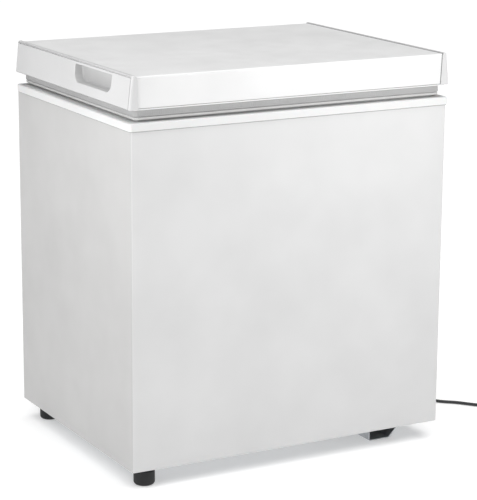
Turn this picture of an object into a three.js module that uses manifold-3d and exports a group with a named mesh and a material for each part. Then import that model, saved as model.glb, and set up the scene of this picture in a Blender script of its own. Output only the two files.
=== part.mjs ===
// Compact chest freezer: an insulated cabinet with a rear-hinged lid, a compressor in the lower right
// corner, a sliding basket and a mains lead. Millimetres, +Z up, +Y to the back, +X to the right.
// The origin is on the floor under the middle of the freezer.
import * as THREE from "three";
import { mergeVertices } from "three/addons/utils/BufferGeometryUtils.js";
import Module from "manifold-3d";

const wasm = await Module();
wasm.setup();

// ---- driving dimensions ----

const GAP = 0.3; // clearance between touching pieces
const SHEET = 0.9; // painted steel sheet
const TUBE_SIDES = 8;

const CABINET = { left: -367, right: 367, front: -290, rear: 272, base: 38, top: 735.5 };
const CABINET_FOLD = 4; // outer radius of the folded vertical corners
const FLANGE = 11; // width of the folded-in rear edges
const HEM = 5.5; // width of the bottom edge, turned in all round
const WALL = 61; // outside of the cabinet to the inside of the liner

const COLLAR = { low: 735.8, high: 751.7, overhang: 3, wall: 3 };
const LEDGE = { width: 18, top: 741, lip_low: 722 };

const WELL = { floor: 98, step_x: 66, step_z: 295 };
const LINER_WALL = 1.2;
const LINER_FOLD = 28;

const COMPARTMENT = { left: 133, top: 240 };
const BASE_PLATE_TOP = 40.2;

const LID = { top: 845, low: 777.8, front: -293, rear: 272.5 };
const CAP = { top_x: 364.3, low_x: 371.7, seam_x: 351, lip: 2 };
const RECESS = { front: -203, rear: -29, low: 799, high: 835, depth: 24, corner: 20 };

const PAN = { x: 353, front: -280, rear: 260, low: 763 };
const SEAL = { x: 351.5, front: -278.5, rear: 258.5, low: 752, lip_top: 755, width: 17 };

const HINGE = { y: 283, z: 772, x: 250, ear_radius: 10, pin_radius: 4 };

const FOOT = { x: -325, front_y: -256, rear_y: 224, radius: 22 };
const CHANNEL = { x: 249, front: -245, rear: 250, foot_half: 26, left_top: 27, right_top: 62, rim: 14 };

const KNOB = { x: 178, z: 196, radius: 19 };
const CORD_RADIUS = 3.5;
const COIL = { x: 656, y: -140, inner: 34.4, outer: 49.6, low: 1.8, high: 16.8, turn_radius: 45.6 };

const COIL_CLEAR = 28; // the straight cord stops this far short of where it joins its turn

// ---- materials ----

function paint(hex, roughness = 0.5, metalness = 0) {
  return new THREE.MeshStandardMaterial({ color: hex, roughness, metalness });
}

const whiteSteel = () => paint(0xeeeeec, 0.45);
const whitePlastic = () => paint(0xf2f2f0, 0.35);
const greySteel = () => paint(0xb9bdc0, 0.4, 0.8);
const blackPlastic = () => paint(0x1b1c1e, 0.6);
const rubber = () => paint(0x222222, 0.8);
const copper = () => paint(0xb87348, 0.35, 0.9);
const foam = () => paint(0xe9d9a8, 0.9);

// ---- geometry helpers ----

const freezer = new THREE.Group();

function add(name, geometry, material) {
  const mesh = new THREE.Mesh(geometry, material);
  mesh.name = name;
  freezer.add(mesh);
  return mesh;
}

function toSolid(geometry) {
  const bare = geometry.clone();
  bare.deleteAttribute("normal");
  bare.deleteAttribute("uv");
  const merged = mergeVertices(bare, 1e-4);
  const vertProperties = new Float32Array(merged.attributes.position.array);
  const triVerts = new Uint32Array(merged.index.array);
  return new wasm.Manifold(new wasm.Mesh({ numProp: 3, vertProperties, triVerts }));
}

function toGeometry(solid) {
  const mesh = solid.getMesh();
  const geometry = new THREE.BufferGeometry();
  geometry.setAttribute("position", new THREE.BufferAttribute(mesh.vertProperties, mesh.numProp));
  geometry.setIndex(new THREE.BufferAttribute(mesh.triVerts, 1));
  return geometry;
}

function join(first, ...others) {
  const solids = others.map(toSolid);
  return toGeometry(solids.reduce((sum, solid) => sum.add(solid), toSolid(first)));
}

function cut(first, ...others) {
  const solids = others.map(toSolid);
  return toGeometry(solids.reduce((rest, solid) => rest.subtract(solid), toSolid(first)));
}

// A box from its two corners.
function box(x0, x1, y0, y1, z0, z1) {
  const geometry = new THREE.BoxGeometry(x1 - x0, y1 - y0, z1 - z0);
  return geometry.translate((x0 + x1) / 2, (y0 + y1) / 2, (z0 + z1) / 2);
}

// A cylinder along "x", "y" or "z" centred at a point.
function rod(axis, radius, length, x, y, z, sides = 24) {
  const geometry = new THREE.CylinderGeometry(radius, radius, length, sides);
  if (axis === "x") geometry.rotateZ(Math.PI / 2);
  if (axis === "z") geometry.rotateX(Math.PI / 2);
  return geometry.translate(x, y, z);
}

// A rectangle with round corners, walked anticlockwise.
function roundedRectangle(x0, x1, y0, y1, radius, Outline = THREE.Shape) {
  const outline = new Outline();
  outline.moveTo(x0 + radius, y0);
  outline.lineTo(x1 - radius, y0);
  outline.absarc(x1 - radius, y0 + radius, radius, -Math.PI / 2, 0);
  outline.lineTo(x1, y1 - radius);
  outline.absarc(x1 - radius, y1 - radius, radius, 0, Math.PI / 2);
  outline.lineTo(x0 + radius, y1);
  outline.absarc(x0 + radius, y1 - radius, radius, Math.PI / 2, Math.PI);
  outline.lineTo(x0, y0 + radius);
  outline.absarc(x0 + radius, y0 + radius, radius, Math.PI, 1.5 * Math.PI);
  return outline;
}

function extrudeUp(shape, z0, z1, curveSegments = 3) {
  const settings = { depth: z1 - z0, bevelEnabled: false, curveSegments };
  return new THREE.ExtrudeGeometry(shape, settings).translate(0, 0, z0);
}

// A profile drawn in (y, z) and extruded along x.
function extrudeAcross(shape, x0, x1, curveSegments = 4) {
  const settings = { depth: x1 - x0, bevelEnabled: false, curveSegments };
  const geometry = new THREE.ExtrudeGeometry(shape, settings);
  geometry.rotateX(Math.PI / 2).rotateZ(Math.PI / 2);
  return geometry.translate(x0, 0, 0);
}

// A profile drawn in (x, z) and extruded along y.
function extrudeBack(shape, y0, y1, curveSegments = 4) {
  const settings = { depth: y1 - y0, bevelEnabled: false, curveSegments };
  const geometry = new THREE.ExtrudeGeometry(shape, settings).rotateX(Math.PI / 2);
  return geometry.translate(0, y1, 0);
}

// A plain block with round vertical corners.
function block(bounds, z0, z1, radius, curveSegments = 3) {
  const { left, right, front, rear } = bounds;
  return extrudeUp(roundedRectangle(left, right, front, rear, radius), z0, z1, curveSegments);
}

// The same bounds moved outwards on every side.
function grow(bounds, amount) {
  return {
    left: bounds.left - amount,
    right: bounds.right + amount,
    front: bounds.front - amount,
    rear: bounds.rear + amount,
  };
}

// A closed frame between an inner and an outer rounded rectangle.
function ring(outer, inner, z0, z1, outerRadius, innerRadius) {
  const shape = roundedRectangle(outer.left, outer.right, outer.front, outer.rear, outerRadius);
  const { left, right, front, rear } = inner;
  shape.holes.push(roundedRectangle(left, right, front, rear, innerRadius, THREE.Path));
  return extrudeUp(shape, z0, z1);
}

function polygon(points) {
  return new THREE.Shape(points.map(([u, v]) => new THREE.Vector2(u, v)));
}

// A route whose steps fall exactly on the listed points.
class Route extends THREE.Curve {
  constructor(points) {
    super();
    this.points = points;
  }

  getPoint(t, target = new THREE.Vector3()) {
    const place = Math.min(Math.max(t, 0), 1) * (this.points.length - 1);
    const index = Math.min(Math.floor(place), this.points.length - 2);
    return target.lerpVectors(this.points[index], this.points[index + 1], place - index);
  }

  getUtoTmapping(u) {
    return u;
  }
}

// Straight runs through the corners given, each corner rounded to the bend's radius.
function bentRoute(corners, bend, bendSteps = 4) {
  const stops = corners.map(([x, y, z]) => new THREE.Vector3(x, y, z));
  const points = [stops[0]];
  for (let i = 1; i < stops.length - 1; i += 1) {
    const back = stops[i - 1].clone().sub(stops[i]).normalize();
    const ahead = stops[i + 1].clone().sub(stops[i]).normalize();
    const half = back.angleTo(ahead) / 2;
    const centre = back.clone().add(ahead).setLength(bend / Math.sin(half)).add(stops[i]);
    const first = back.multiplyScalar(bend / Math.tan(half)).add(stops[i]).sub(centre);
    const last = ahead.multiplyScalar(bend / Math.tan(half)).add(stops[i]).sub(centre);
    const turn = first.angleTo(last);
    for (let step = 0; step <= bendSteps; step += 1) {
      const share = step / bendSteps;
      const spoke = first.clone().multiplyScalar(Math.sin((1 - share) * turn) / Math.sin(turn));
      spoke.addScaledVector(last, Math.sin(share * turn) / Math.sin(turn));
      points.push(spoke.add(centre));
    }
  }
  points.push(stops[stops.length - 1]);
  return points;
}

function circle(radius, sides = TUBE_SIDES) {
  const points = [];
  for (let i = 0; i < sides; i += 1) {
    const angle = (2 * Math.PI * i) / sides;
    points.push(new THREE.Vector2(radius * Math.cos(angle), radius * Math.sin(angle)));
  }
  return new THREE.Shape(points);
}

function sweep(points, radius, sides = TUBE_SIDES) {
  const settings = { steps: points.length - 1, extrudePath: new Route(points), bevelEnabled: false };
  return new THREE.ExtrudeGeometry(circle(radius, sides), settings);
}

function lathe(profile, segments = 32) {
  return new THREE.LatheGeometry(profile.map(([r, z]) => new THREE.Vector2(r, z)), segments).rotateX(
    Math.PI / 2,
  );
}

// ---- cabinet ----

const OPENING = {
  left: CABINET.left + WALL + 3.3,
  right: CABINET.right - WALL - 3.3,
  front: CABINET.front + WALL + 3.3,
  rear: CABINET.rear - WALL - 3.3,
};

function makeCabinetShell() {
  const { left, right, front, rear, base, top } = CABINET;
  const outer = block({ left, right, front, rear: rear + 10 }, base, top, CABINET_FOLD);
  const inner = block(
    { left: left + SHEET, right: right - SHEET, front: front + SHEET, rear: rear + 20 },
    base - 1,
    top + 1,
    CABINET_FOLD - SHEET,
  );
  const behind = box(left - 1, right + 1, rear, rear + 30, base - 1, top + 1);
  const walls = cut(outer, inner, behind);
  const edges = [
    box(left + SHEET / 2, left + FLANGE, rear - SHEET, rear, base, top),
    box(right - FLANGE, right - SHEET / 2, rear - SHEET, rear, base, top),
    box(left + SHEET / 2, left + HEM, front + 3, rear - 3, base, base + SHEET),
    box(right - HEM, right - SHEET / 2, front + 3, rear - 3, base, base + SHEET),
    box(left + 3, right - 3, front + SHEET / 2, front + HEM, base, base + SHEET),
  ];
  const window = box(right - 5, right + 5, -92, 92, 74, 196);
  add("outer_wrap", cut(join(walls, ...edges), window), whiteSteel());

  const inside = { left: left + SHEET + GAP, right: right - SHEET - GAP };
  const plate = box(inside.left, inside.right, rear - 2 * SHEET - GAP, rear - SHEET - GAP, 39.5, top);
  const doorway = box(COMPARTMENT.left + 6, right - 16, rear - 10, rear + 10, 39, 232);
  add("back_panel", cut(plate, doorway), greySteel());
}

function makeFloorPanels() {
  const { left, right, front, rear, base } = CABINET;
  const low = base + SHEET + GAP;
  const drainHole = rod("z", 10, 20, DRAIN.outlet_x, DRAIN.outlet_y, base, 20);
  const floorEdge = { front: front + 1.3, rear: rear - 2.6 };
  const under = { ...floorEdge, left: left + 1.3, right: COMPARTMENT.left - GAP };
  add("bottom_panel", cut(block(under, low, low + SHEET, CABINET_FOLD), drainHole), greySteel());

  const corner = { ...floorEdge, left: COMPARTMENT.left, right: right - 1.3 };
  const plate = block(corner, low, BASE_PLATE_TOP, CABINET_FOLD);
  const slots = [];
  for (let y = -200; y <= 20; y += 22) {
    slots.push(box(150, 340, y, y + 10, base, base + 10));
  }
  add("compressor_floor_plate", cut(plate, ...slots), greySteel());

  const wallTop = COMPARTMENT.top;
  const upright = [COMPARTMENT.left, COMPARTMENT.left + SHEET, floorEdge.front + 4, floorEdge.rear - 4];
  const wall = box(...upright, BASE_PLATE_TOP + GAP, wallTop);
  const roof = block(corner, wallTop - SHEET, wallTop, CABINET_FOLD);
  add("compartment_divider", join(wall, roof), greySteel());
}

const DRAIN = { well_x: 20, well_y: -180, outlet_x: 120, outlet_y: -268, radius: 8, run_z: 64 };

function drainRoute() {
  return bentRoute(
    [
      [DRAIN.well_x, DRAIN.well_y, WELL.floor - 8],
      [DRAIN.well_x, DRAIN.well_y, DRAIN.run_z],
      [DRAIN.outlet_x, DRAIN.outlet_y, DRAIN.run_z],
      [DRAIN.outlet_x, DRAIN.outlet_y, 37.6],
    ],
    15,
  );
}

function makeDrain() {
  const { outlet_x: x, outlet_y: y, radius } = DRAIN;
  add("drain_tube", sweep(drainRoute(), radius), whitePlastic());
  // The outlet is a short spigot under the floor, closed by a push-on cap.
  const seat = 35.3;
  const spigot_low = 33.7;
  const spigot = rod("z", 6.5, 3, x, y, spigot_low + 1.5, 20);
  const collar = rod("z", 9, 2, x, y, seat + 1, 20);
  add("drain_outlet", join(spigot, collar), whitePlastic());
  const cap = lathe([
    [0, 31.6],
    [8, 31.6],
    [9.2, 32.6],
    [9.2, seat - GAP],
    [6.8, seat - GAP],
    [6.8, spigot_low - GAP],
    [0, spigot_low - GAP],
  ], 24);
  add("drain_cap", cap.translate(x, y, 0), whitePlastic());

  const plug = lathe([
    [0, 0],
    [7.5, 0],
    [8.6, 3],
    [8.6, 7.3],
    [14, 7.3],
    [14, 9],
    [11, 11.3],
    [4, 11.3],
    [4, 20],
    [0, 20],
  ], 24);
  plug.translate(DRAIN.well_x, DRAIN.well_y, WELL.floor - 7);
  add("drain_plug", plug, rubber());
}

function makeCollar() {
  const { low, high, overhang, wall } = COLLAR;
  const outer = { ...grow(CABINET, overhang), rear: CABINET.rear };
  const ledge = grow(OPENING, LEDGE.width);
  const skirt = ring(outer, grow(outer, -wall), low, high, 6, 3);
  const rim = ring(grow(outer, -wall / 2), ledge, high - wall, high, 5, 34);
  const riser = ring(grow(ledge, wall), ledge, LEDGE.top - wall, high - wall / 2, 37, 34);
  const shelf = ring(grow(ledge, wall / 2), OPENING, LEDGE.top - wall, LEDGE.top, 35, 25);
  const lip = ring(grow(OPENING, wall), OPENING, LEDGE.lip_low, LEDGE.top - wall / 2, 28, 25);
  add("top_collar", join(skirt, rim, riser, shelf, lip), whitePlastic());
}

// The liner's two wells, inside (amount 0) or outside (amount LINER_WALL and more).
function wells(amount, top) {
  const room = grow(OPENING, COLLAR.wall + GAP + amount);
  const upper = block(room, WELL.step_z - amount, top, LINER_FOLD + amount);
  const deep = block({ ...room, right: WELL.step_x + amount }, WELL.floor - amount, top, LINER_FOLD + amount);
  return [upper, deep];
}

function makeLiner() {
  const top = LEDGE.top - COLLAR.wall - GAP;
  const body = join(...wells(LINER_WALL, top));
  const drainHole = rod("z", 9, 20, DRAIN.well_x, DRAIN.well_y, WELL.floor, 20);
  add("inner_liner", cut(body, ...wells(0, top + 1), drainHole), paint(0xd9dbdc, 0.35, 0.5));
}

// The foam fills the walls, less the layers in which the refrigerant tubes run.
const EVAPORATOR_LAYER = 9.5;
const CONDENSER_LAYER = 8;

function makeInsulation() {
  const { left, right, front, rear, base } = CABINET;
  const room = grow({ left, right, front, rear }, -CONDENSER_LAYER);
  const top = LEDGE.lip_low - 3;
  const whole = block(room, base + 2.4, top, 3);
  const hollow = wells(LINER_WALL + EVAPORATOR_LAYER, top + 1);
  const corner = box(COMPARTMENT.left - GAP, right, front, rear, base, COMPARTMENT.top + GAP);
  const drain = sweep(drainRoute(), DRAIN.radius + GAP);
  const drainEntry = rod("z", DRAIN.radius + 1, 20, DRAIN.well_x, DRAIN.well_y, WELL.floor - 5, 20);
  add("cabinet_insulation", cut(whole, ...hollow, corner, drain, drainEntry), foam());
}

// One tube wound round the liner's upper wells, and one snaking inside the painted wrap.
function makeWallTubes() {
  const radius = 3.2;
  const clearance = 1;
  const offset = COLLAR.wall + GAP + LINER_WALL + clearance + radius;
  const around = grow(OPENING, offset);
  const turns = 5;
  const pitch = 72;
  const low = 345;
  const corners = [[0, around.front, low]];
  for (let turn = 0; turn < turns; turn += 1) {
    const z = low + turn * pitch;
    corners.push([around.right, around.front, z]);
    corners.push([around.right, around.rear, z + pitch / 2]);
    corners.push([around.left, around.rear, z + pitch / 2]);
    corners.push([around.left, around.front, z + pitch]);
  }
  corners.push([0, around.front, low + turns * pitch]);
  const bend = LINER_FOLD + LINER_WALL + clearance + radius;
  add("evaporator_tube", sweep(bentRoute(corners, bend, 6), radius, 6), paint(0xc8ccd0, 0.3, 0.9));

  const skin = grow(CABINET, -(SHEET + GAP + 2.6));
  const snake = [];
  const rows = [120, 230, 340, 450, 560, 670];
  rows.forEach((z, row) => {
    const ends = row % 2 === 0 ? [skin.rear - 20, skin.front + 12] : [skin.front + 12, skin.rear - 20];
    ends.forEach((y) => snake.push([skin.left, y, z]));
  });
  add("condenser_tube", sweep(bentRoute(snake, 10), 2.4, 6), copper());
}

// ---- feet and the compressor's corner ----

function makeFeet() {
  const profile = [
    [0, 0],
    [17, 0],
    [20.5, 1.6],
    [FOOT.radius, 5.5],
    [FOOT.radius, 30],
    [19, 33],
    [19, CABINET.base - GAP],
    [0, CABINET.base - GAP],
  ];
  [["foot_front_left", FOOT.front_y], ["foot_rear_left", FOOT.rear_y]].forEach(([name, y]) => {
    add(name, lathe(profile, 24).translate(FOOT.x, y, 0), blackPlastic());
  });
}

function makeBaseChannel() {
  const t = 1.8;
  const { x, foot_half: foot, left_top: left, right_top: right, rim } = CHANNEL;
  const high = CABINET.base + SHEET;
  const outline = [
    [-left - rim, high],
    [-left - rim, high - t],
    [-left, high - t],
    [-foot, 0],
    [foot, 0],
    [right, high - t],
    [right + rim, high - t],
    [right + rim, high],
    [right - t, high],
    [foot - t / 2, t],
    [-foot + t, t],
    [-left + t, high],
  ].map(([u, v]) => [u + x, v]);
  add("base_channel", extrudeBack(polygon(outline), CHANNEL.front, CHANNEL.rear), greySteel());
}

const PUMP = { x: 236, y: 120, rest: 56, radius: 68, foot_x: 78, foot_y: 52 };

function makeCompressor() {
  const { x, y, rest, radius } = PUMP;
  const shell = lathe([
    [0, 0],
    [38, 0],
    [58, 8],
    [radius - 2, 26],
    [radius - 2, 72],
    [radius + 3, 73],
    [radius + 3, 77],
    [radius - 2, 78],
    [radius - 4, 116],
    [56, 137],
    [34, 147],
    [0, 150],
  ], 32);
  add("compressor_shell", shell.translate(x, y, rest + 3), blackPlastic());

  const legs = box(x - PUMP.foot_x - 14, x + PUMP.foot_x + 14, y - 66, y + 66, rest, rest + 2.7);
  const places = [];
  [-1, 1].forEach((sx) => [-1, 1].forEach((sy) => places.push([x + sx * PUMP.foot_x, y + sy * PUMP.foot_y])));
  const holes = places.map(([px, py]) => rod("z", 6, 20, px, py, rest, 16));
  add("compressor_feet", cut(legs, ...holes), blackPlastic());

  const sleeve = lathe([
    [0, 0],
    [11, 0],
    [11, rest - BASE_PLATE_TOP - 2 * GAP],
    [5.6, rest - BASE_PLATE_TOP - 2 * GAP],
    [5.6, rest - BASE_PLATE_TOP + 5],
    [0, rest - BASE_PLATE_TOP + 5],
  ], 16);
  places.forEach(([px, py], index) => {
    add(`compressor_grommet_${index + 1}`, sleeve.clone().translate(px, py, BASE_PLATE_TOP + GAP), rubber());
  });

  const relay = box(x - 24, x + 24, y - radius - 34, y - radius - 4, 100, 152);
  add("relay_cover", relay, whitePlastic());
}

function makePipework() {
  const { x, y, radius, rest } = PUMP;
  const side = y + radius + GAP;
  const drier = lathe([
    [0, 0],
    [3, 0],
    [3, 14],
    [9, 24],
    [9, 84],
    [3, 96],
    [3, 110],
    [0, 110],
  ], 20);
  add("filter_drier", drier.translate(344, 20, 92), copper());

  const roof = COMPARTMENT.top - SHEET - GAP;
  const suction = [[x - 40, side + 3, rest + 60], [x - 40, side + 34, rest + 60], [x - 40, side + 34, roof]];
  add("suction_tube", sweep(bentRoute(suction, 18), 4), copper());
  const discharge = [
    [x + 45, side + 2, rest + 40],
    [x + 45, side + 34, rest + 40],
    [348, side + 34, rest + 40],
    [348, side + 34, roof],
  ];
  add("discharge_tube", sweep(bentRoute(discharge, 16), 3), copper());
  const process = [[x, side + 3, rest + 50], [x, side + 32, rest + 50], [x, side + 32, rest + 105]];
  add("process_tube", sweep(bentRoute(process, 16), 3), copper());
  const capillary = [
    [344, 20, 92 + 110 + GAP],
    [344, 20, 222],
    [344, -60, 222],
    [300, -60, 222],
    [300, -60, roof],
  ];
  add("capillary_tube", sweep(bentRoute(capillary, 8), 1.3, 6), copper());
}

// ---- rear cover, thermostat and side grille ----

const REAR_COVER = { left: 126, right: 358, low: 48, high: 240, back: 275 };

function makeRearCover() {
  const { left, right, low, high, back } = REAR_COVER;
  const front = CABINET.rear + GAP;
  const plate = block({ left, right, front: low, rear: high }, 0, back - front, 8);
  plate.rotateX(Math.PI / 2).translate(0, back, 0);
  const slots = [];
  for (let row = 0; row < 9; row += 1) {
    const z = 72 + row * 10;
    slots.push(box(146, 300, front - 5, back + 5, z, z + 4.5));
  }
  const knobHole = rod("y", 7, 40, KNOB.x, back, KNOB.z, 24);
  const cordHole = rod("y", 6.3, 40, CORD_EXIT.x, back, CORD_EXIT.z, 24);
  add("rear_cover", cut(plate, ...slots, knobHole, cordHole), whitePlastic());

  const housing = box(KNOB.x - 24, KNOB.x + 24, 232, front - 4, KNOB.z - 18, KNOB.z + 18);
  add("thermostat_housing", housing, blackPlastic());
  const face = back + GAP;
  const dial = lathe([
    [0, -4.2],
    [6, -4.2],
    [6, 0],
    [KNOB.radius, 0],
    [KNOB.radius, 3],
    [KNOB.radius - 2.5, 13],
    [KNOB.radius - 4.5, 14.5],
    [0, 14.5],
  ], 36);
  dial.rotateX(-Math.PI / 2).translate(KNOB.x, face, KNOB.z);
  const pointer = box(KNOB.x - 2, KNOB.x + 2, face + 12, face + 17, KNOB.z - 2, KNOB.z + 15);
  add("thermostat_knob", join(dial, pointer), whitePlastic());
}

function makeSideGrille() {
  const face = CABINET.right + GAP;
  const bezel = box(face, face + 2.4, -98, 98, 68, 202);
  const neck = box(face - 8, face + 1, -90, 90, 76, 194);
  const slots = [];
  for (let z = 84; z < 184; z += 10) {
    slots.push(box(face - 20, face + 20, -80, -4, z, z + 5));
    slots.push(box(face - 20, face + 20, 4, 80, z, z + 5));
  }
  add("side_vent_grille", cut(join(bezel, neck), ...slots), whitePlastic());
}

// ---- lid ----

// Half-width of an end cap's outer face, which leans out towards its lower edge.
function capHalfWidth(z) {
  const fall = (LID.top - z) / (LID.top - LID.low);
  return CAP.top_x + (CAP.low_x - CAP.top_x) * fall;
}

function foldedProfile(front, rear, low, high, radius) {
  const shape = new THREE.Shape();
  shape.moveTo(front, low);
  shape.lineTo(rear, low);
  shape.lineTo(rear, high - radius);
  shape.absarc(rear - radius, high - radius, radius, 0, Math.PI / 2);
  shape.lineTo(front + radius, high);
  shape.absarc(front + radius, high - radius, radius, Math.PI / 2, Math.PI);
  return shape;
}

function makeLidPanel() {
  const { front, rear, low, top } = LID;
  const lip = CAP.lip;
  const reach = 359;
  const outside = foldedProfile(front + lip, rear - GAP, low + lip, top - lip, 5);
  const inset = lip + SHEET;
  const inside = foldedProfile(front + inset, rear - GAP - SHEET, low - 5, top - inset, 4.1);
  const panel = cut(
    extrudeAcross(outside, -reach, reach),
    extrudeAcross(inside, -reach - 1, reach + 1),
  );
  add("lid_top_panel", panel, whiteSteel());
}

// One end cap: a leaning outer plate with a lip over the sheet and a hand recess.
function makeEndCap(name, side) {
  const { front, rear, low, top } = LID;
  const wall = 3;
  const full = foldedProfile(front, rear, low, top, 6);
  const outline = polygon([
    [CAP.seam_x, low],
    [CAP.low_x, low],
    [CAP.top_x, top],
    [CAP.seam_x, top],
  ]);
  const wedge = extrudeBack(outline, front - 5, rear + 5);
  const solid = toSolid(extrudeAcross(full, CAP.seam_x, CAP.low_x + 1)).intersect(toSolid(wedge));
  const lip = CAP.lip - GAP;
  const hollowProfile = foldedProfile(front + lip, rear + 10, low - 5, top - lip, 5);
  const hollow = extrudeAcross(hollowProfile, CAP.seam_x - 5, 360.4);
  const rearRoom = box(CAP.seam_x - 5, 360.4, rear - 12, rear + 10, low - 5, top - lip);
  const shell = solid.subtract(toSolid(hollow)).subtract(toSolid(rearRoom));

  const pocket = new THREE.Shape();
  const { corner } = RECESS;
  pocket.moveTo(RECESS.front + corner, RECESS.low);
  pocket.lineTo(RECESS.rear - corner, RECESS.low);
  pocket.absarc(RECESS.rear - corner, RECESS.low + corner, corner, -Math.PI / 2, 0);
  pocket.lineTo(RECESS.rear, RECESS.high);
  pocket.lineTo(RECESS.front, RECESS.high);
  pocket.absarc(RECESS.front + corner, RECESS.low + corner, corner, Math.PI, 1.5 * Math.PI);
  const cupOuter = new THREE.Shape();
  const [cupFront, cupRear] = [RECESS.front - wall, RECESS.rear + wall];
  const cupCorner = corner + wall;
  cupOuter.moveTo(cupFront + cupCorner, RECESS.low - wall);
  cupOuter.lineTo(cupRear - cupCorner, RECESS.low - wall);
  cupOuter.absarc(cupRear - cupCorner, RECESS.low + corner, cupCorner, -Math.PI / 2, 0);
  cupOuter.lineTo(cupRear, RECESS.high + wall);
  cupOuter.lineTo(cupFront, RECESS.high + wall);
  cupOuter.absarc(cupFront + cupCorner, RECESS.low + corner, cupCorner, Math.PI, 1.5 * Math.PI);
  const bottom = CAP.low_x - RECESS.depth;
  const cup = toSolid(extrudeAcross(cupOuter, bottom - wall, 363));
  const room = toSolid(extrudeAcross(pocket, bottom, CAP.low_x + 10));
  const geometry = toGeometry(shell.add(cup).subtract(room));
  if (side < 0) {
    geometry.scale(-1, 1, 1);
    const order = geometry.index.array;
    for (let i = 0; i < order.length; i += 3) {
      [order[i + 1], order[i + 2]] = [order[i + 2], order[i + 1]];
    }
  }
  add(name, geometry, whitePlastic());
}

function makeLidInside() {
  const pan = { left: -PAN.x, right: PAN.x, front: PAN.front, rear: PAN.rear };
  const edge = { left: -360, right: 360, front: LID.front + 2.4, rear: LID.rear - 0.9 };
  const crown = grow(OPENING, -8);
  const crownLow = 750;
  const skin = 2;
  const flange = block(edge, LID.low + 0.2, LID.low + 1.7, 3);
  const tray = block(pan, PAN.low, LID.low + 1, 8);
  const dome = block(crown, crownLow, PAN.low + 1, 24);
  const trayRoom = block(grow(pan, -skin), PAN.low + skin, LID.low + 5, 6);
  const domeRoom = block(grow(crown, -skin), crownLow + skin, PAN.low + 5, 22);
  add("lid_inner_liner", cut(join(flange, tray, dome), trayRoom, domeRoom), whitePlastic());

  const inset = CAP.lip + SHEET + GAP;
  const bottom = LID.low + 1.7 + GAP;
  const profile = foldedProfile(LID.front + inset, LID.rear - 3, bottom, LID.top - inset, 4.2);
  const slab = extrudeAcross(profile, -344, 344);
  const trayFill = block(grow(pan, -skin - GAP), PAN.low + skin + GAP, bottom + 2, 6);
  const domeFill = block(grow(crown, -skin - GAP), crownLow + skin + GAP, PAN.low + 5, 22);
  add("lid_insulation", join(slab, trayFill, domeFill), foam());

  const outer = { left: -SEAL.x, right: SEAL.x, front: SEAL.front, rear: SEAL.rear };
  const body = ring(outer, grow(outer, -SEAL.width), SEAL.lip_top, PAN.low - GAP, 6, 4);
  const sealLip = ring(grow(outer, -4), grow(outer, -10), SEAL.low, SEAL.lip_top + 1, 4, 3);
  add("lid_gasket", join(body, sealLip), paint(0xdcdcda, 0.7));
}

// ---- hinges ----

function makeHinge(word, x) {
  const { y, z, ear_radius: ear, pin_radius: pin } = HINGE;
  const face = CABINET.rear + GAP;
  const plate = box(x - 30, x + 30, face, face + 2.5, 668, 748);
  const ears = [-22, 19.5].map((offset) => {
    const outline = new THREE.Shape();
    outline.moveTo(face + 1, 690);
    outline.lineTo(y + ear - 6, 700);
    outline.lineTo(y + ear, z);
    outline.absarc(y, z, ear, 0, Math.PI);
    outline.lineTo(face + 1.5, 748);
    outline.lineTo(face + 1, 748);
    return extrudeAcross(outline, x + offset, x + offset + 2.5, 8);
  });
  const bore = rod("x", pin + 0.05, 80, x, y, z, 20);
  add(`hinge_base_${word}`, cut(join(plate, ...ears), bore), greySteel());

  const shaft = rod("x", pin, 50, x, y, z, 20);
  const head = rod("x", pin + 2, 2.4, x + 25.5, y, z, 20);
  add(`hinge_pin_${word}`, join(shaft, head), greySteel());

  const back = LID.rear + GAP;
  const leafPlate = box(x - 28, x + 28, back, back + 2.5, 783, 834);
  const lugs = [-16, 12].map((offset) => {
    const outline = new THREE.Shape();
    outline.moveTo(back + 1, 800);
    outline.lineTo(back + 1, z + 12);
    outline.absarc(y, z, 7.2, Math.PI * 0.92, Math.PI * 2.15);
    outline.lineTo(back + 3.5, 800);
    return extrudeAcross(outline, x + offset, x + offset + 4, 8);
  });
  const leafBore = rod("x", pin + 0.05, 80, x, y, z, 20);
  add(`hinge_leaf_${word}`, cut(join(leafPlate, ...lugs), leafBore), greySteel());

  // The torsion spring is wound round the pin between the two lugs.
  const coil = [];
  const turns = 5;
  const steps = 8;
  for (let i = 0; i <= turns * steps; i += 1) {
    const angle = (2 * Math.PI * i) / steps;
    const across = x - 9.5 + (19 * i) / (turns * steps);
    coil.push(new THREE.Vector3(across, y + 5.9 * Math.cos(angle), z + 5.9 * Math.sin(angle)));
  }
  add(`hinge_spring_${word}`, sweep(coil, 1, 5), greySteel());
}

// ---- basket ----

const BASKET = { left: 92, right: 292, top: 744, low: 560 };

function makeBasket() {
  const front = OPENING.front + 5;
  const rear = OPENING.rear - 5;
  const { left, right, top, low } = BASKET;
  const rim = { left, right, front, rear };
  const body = block(rim, low, top - 1, 22);
  const room = block(grow(rim, -3), low + 3, top + 5, 19);
  const hangers = [
    box(left + 22, right - 22, OPENING.front - 12, OPENING.front + 7, LEDGE.top + GAP, top),
    box(left + 22, right - 22, OPENING.rear - 7, OPENING.rear + 12, LEDGE.top + GAP, top),
  ];
  add("basket", cut(join(body, ...hangers), room), whiteSteel());
}

// ---- mains lead ----

const CORD_EXIT = { x: 336, y: 275, z: 62 };
const RELIEF_LENGTH = 34;

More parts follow.
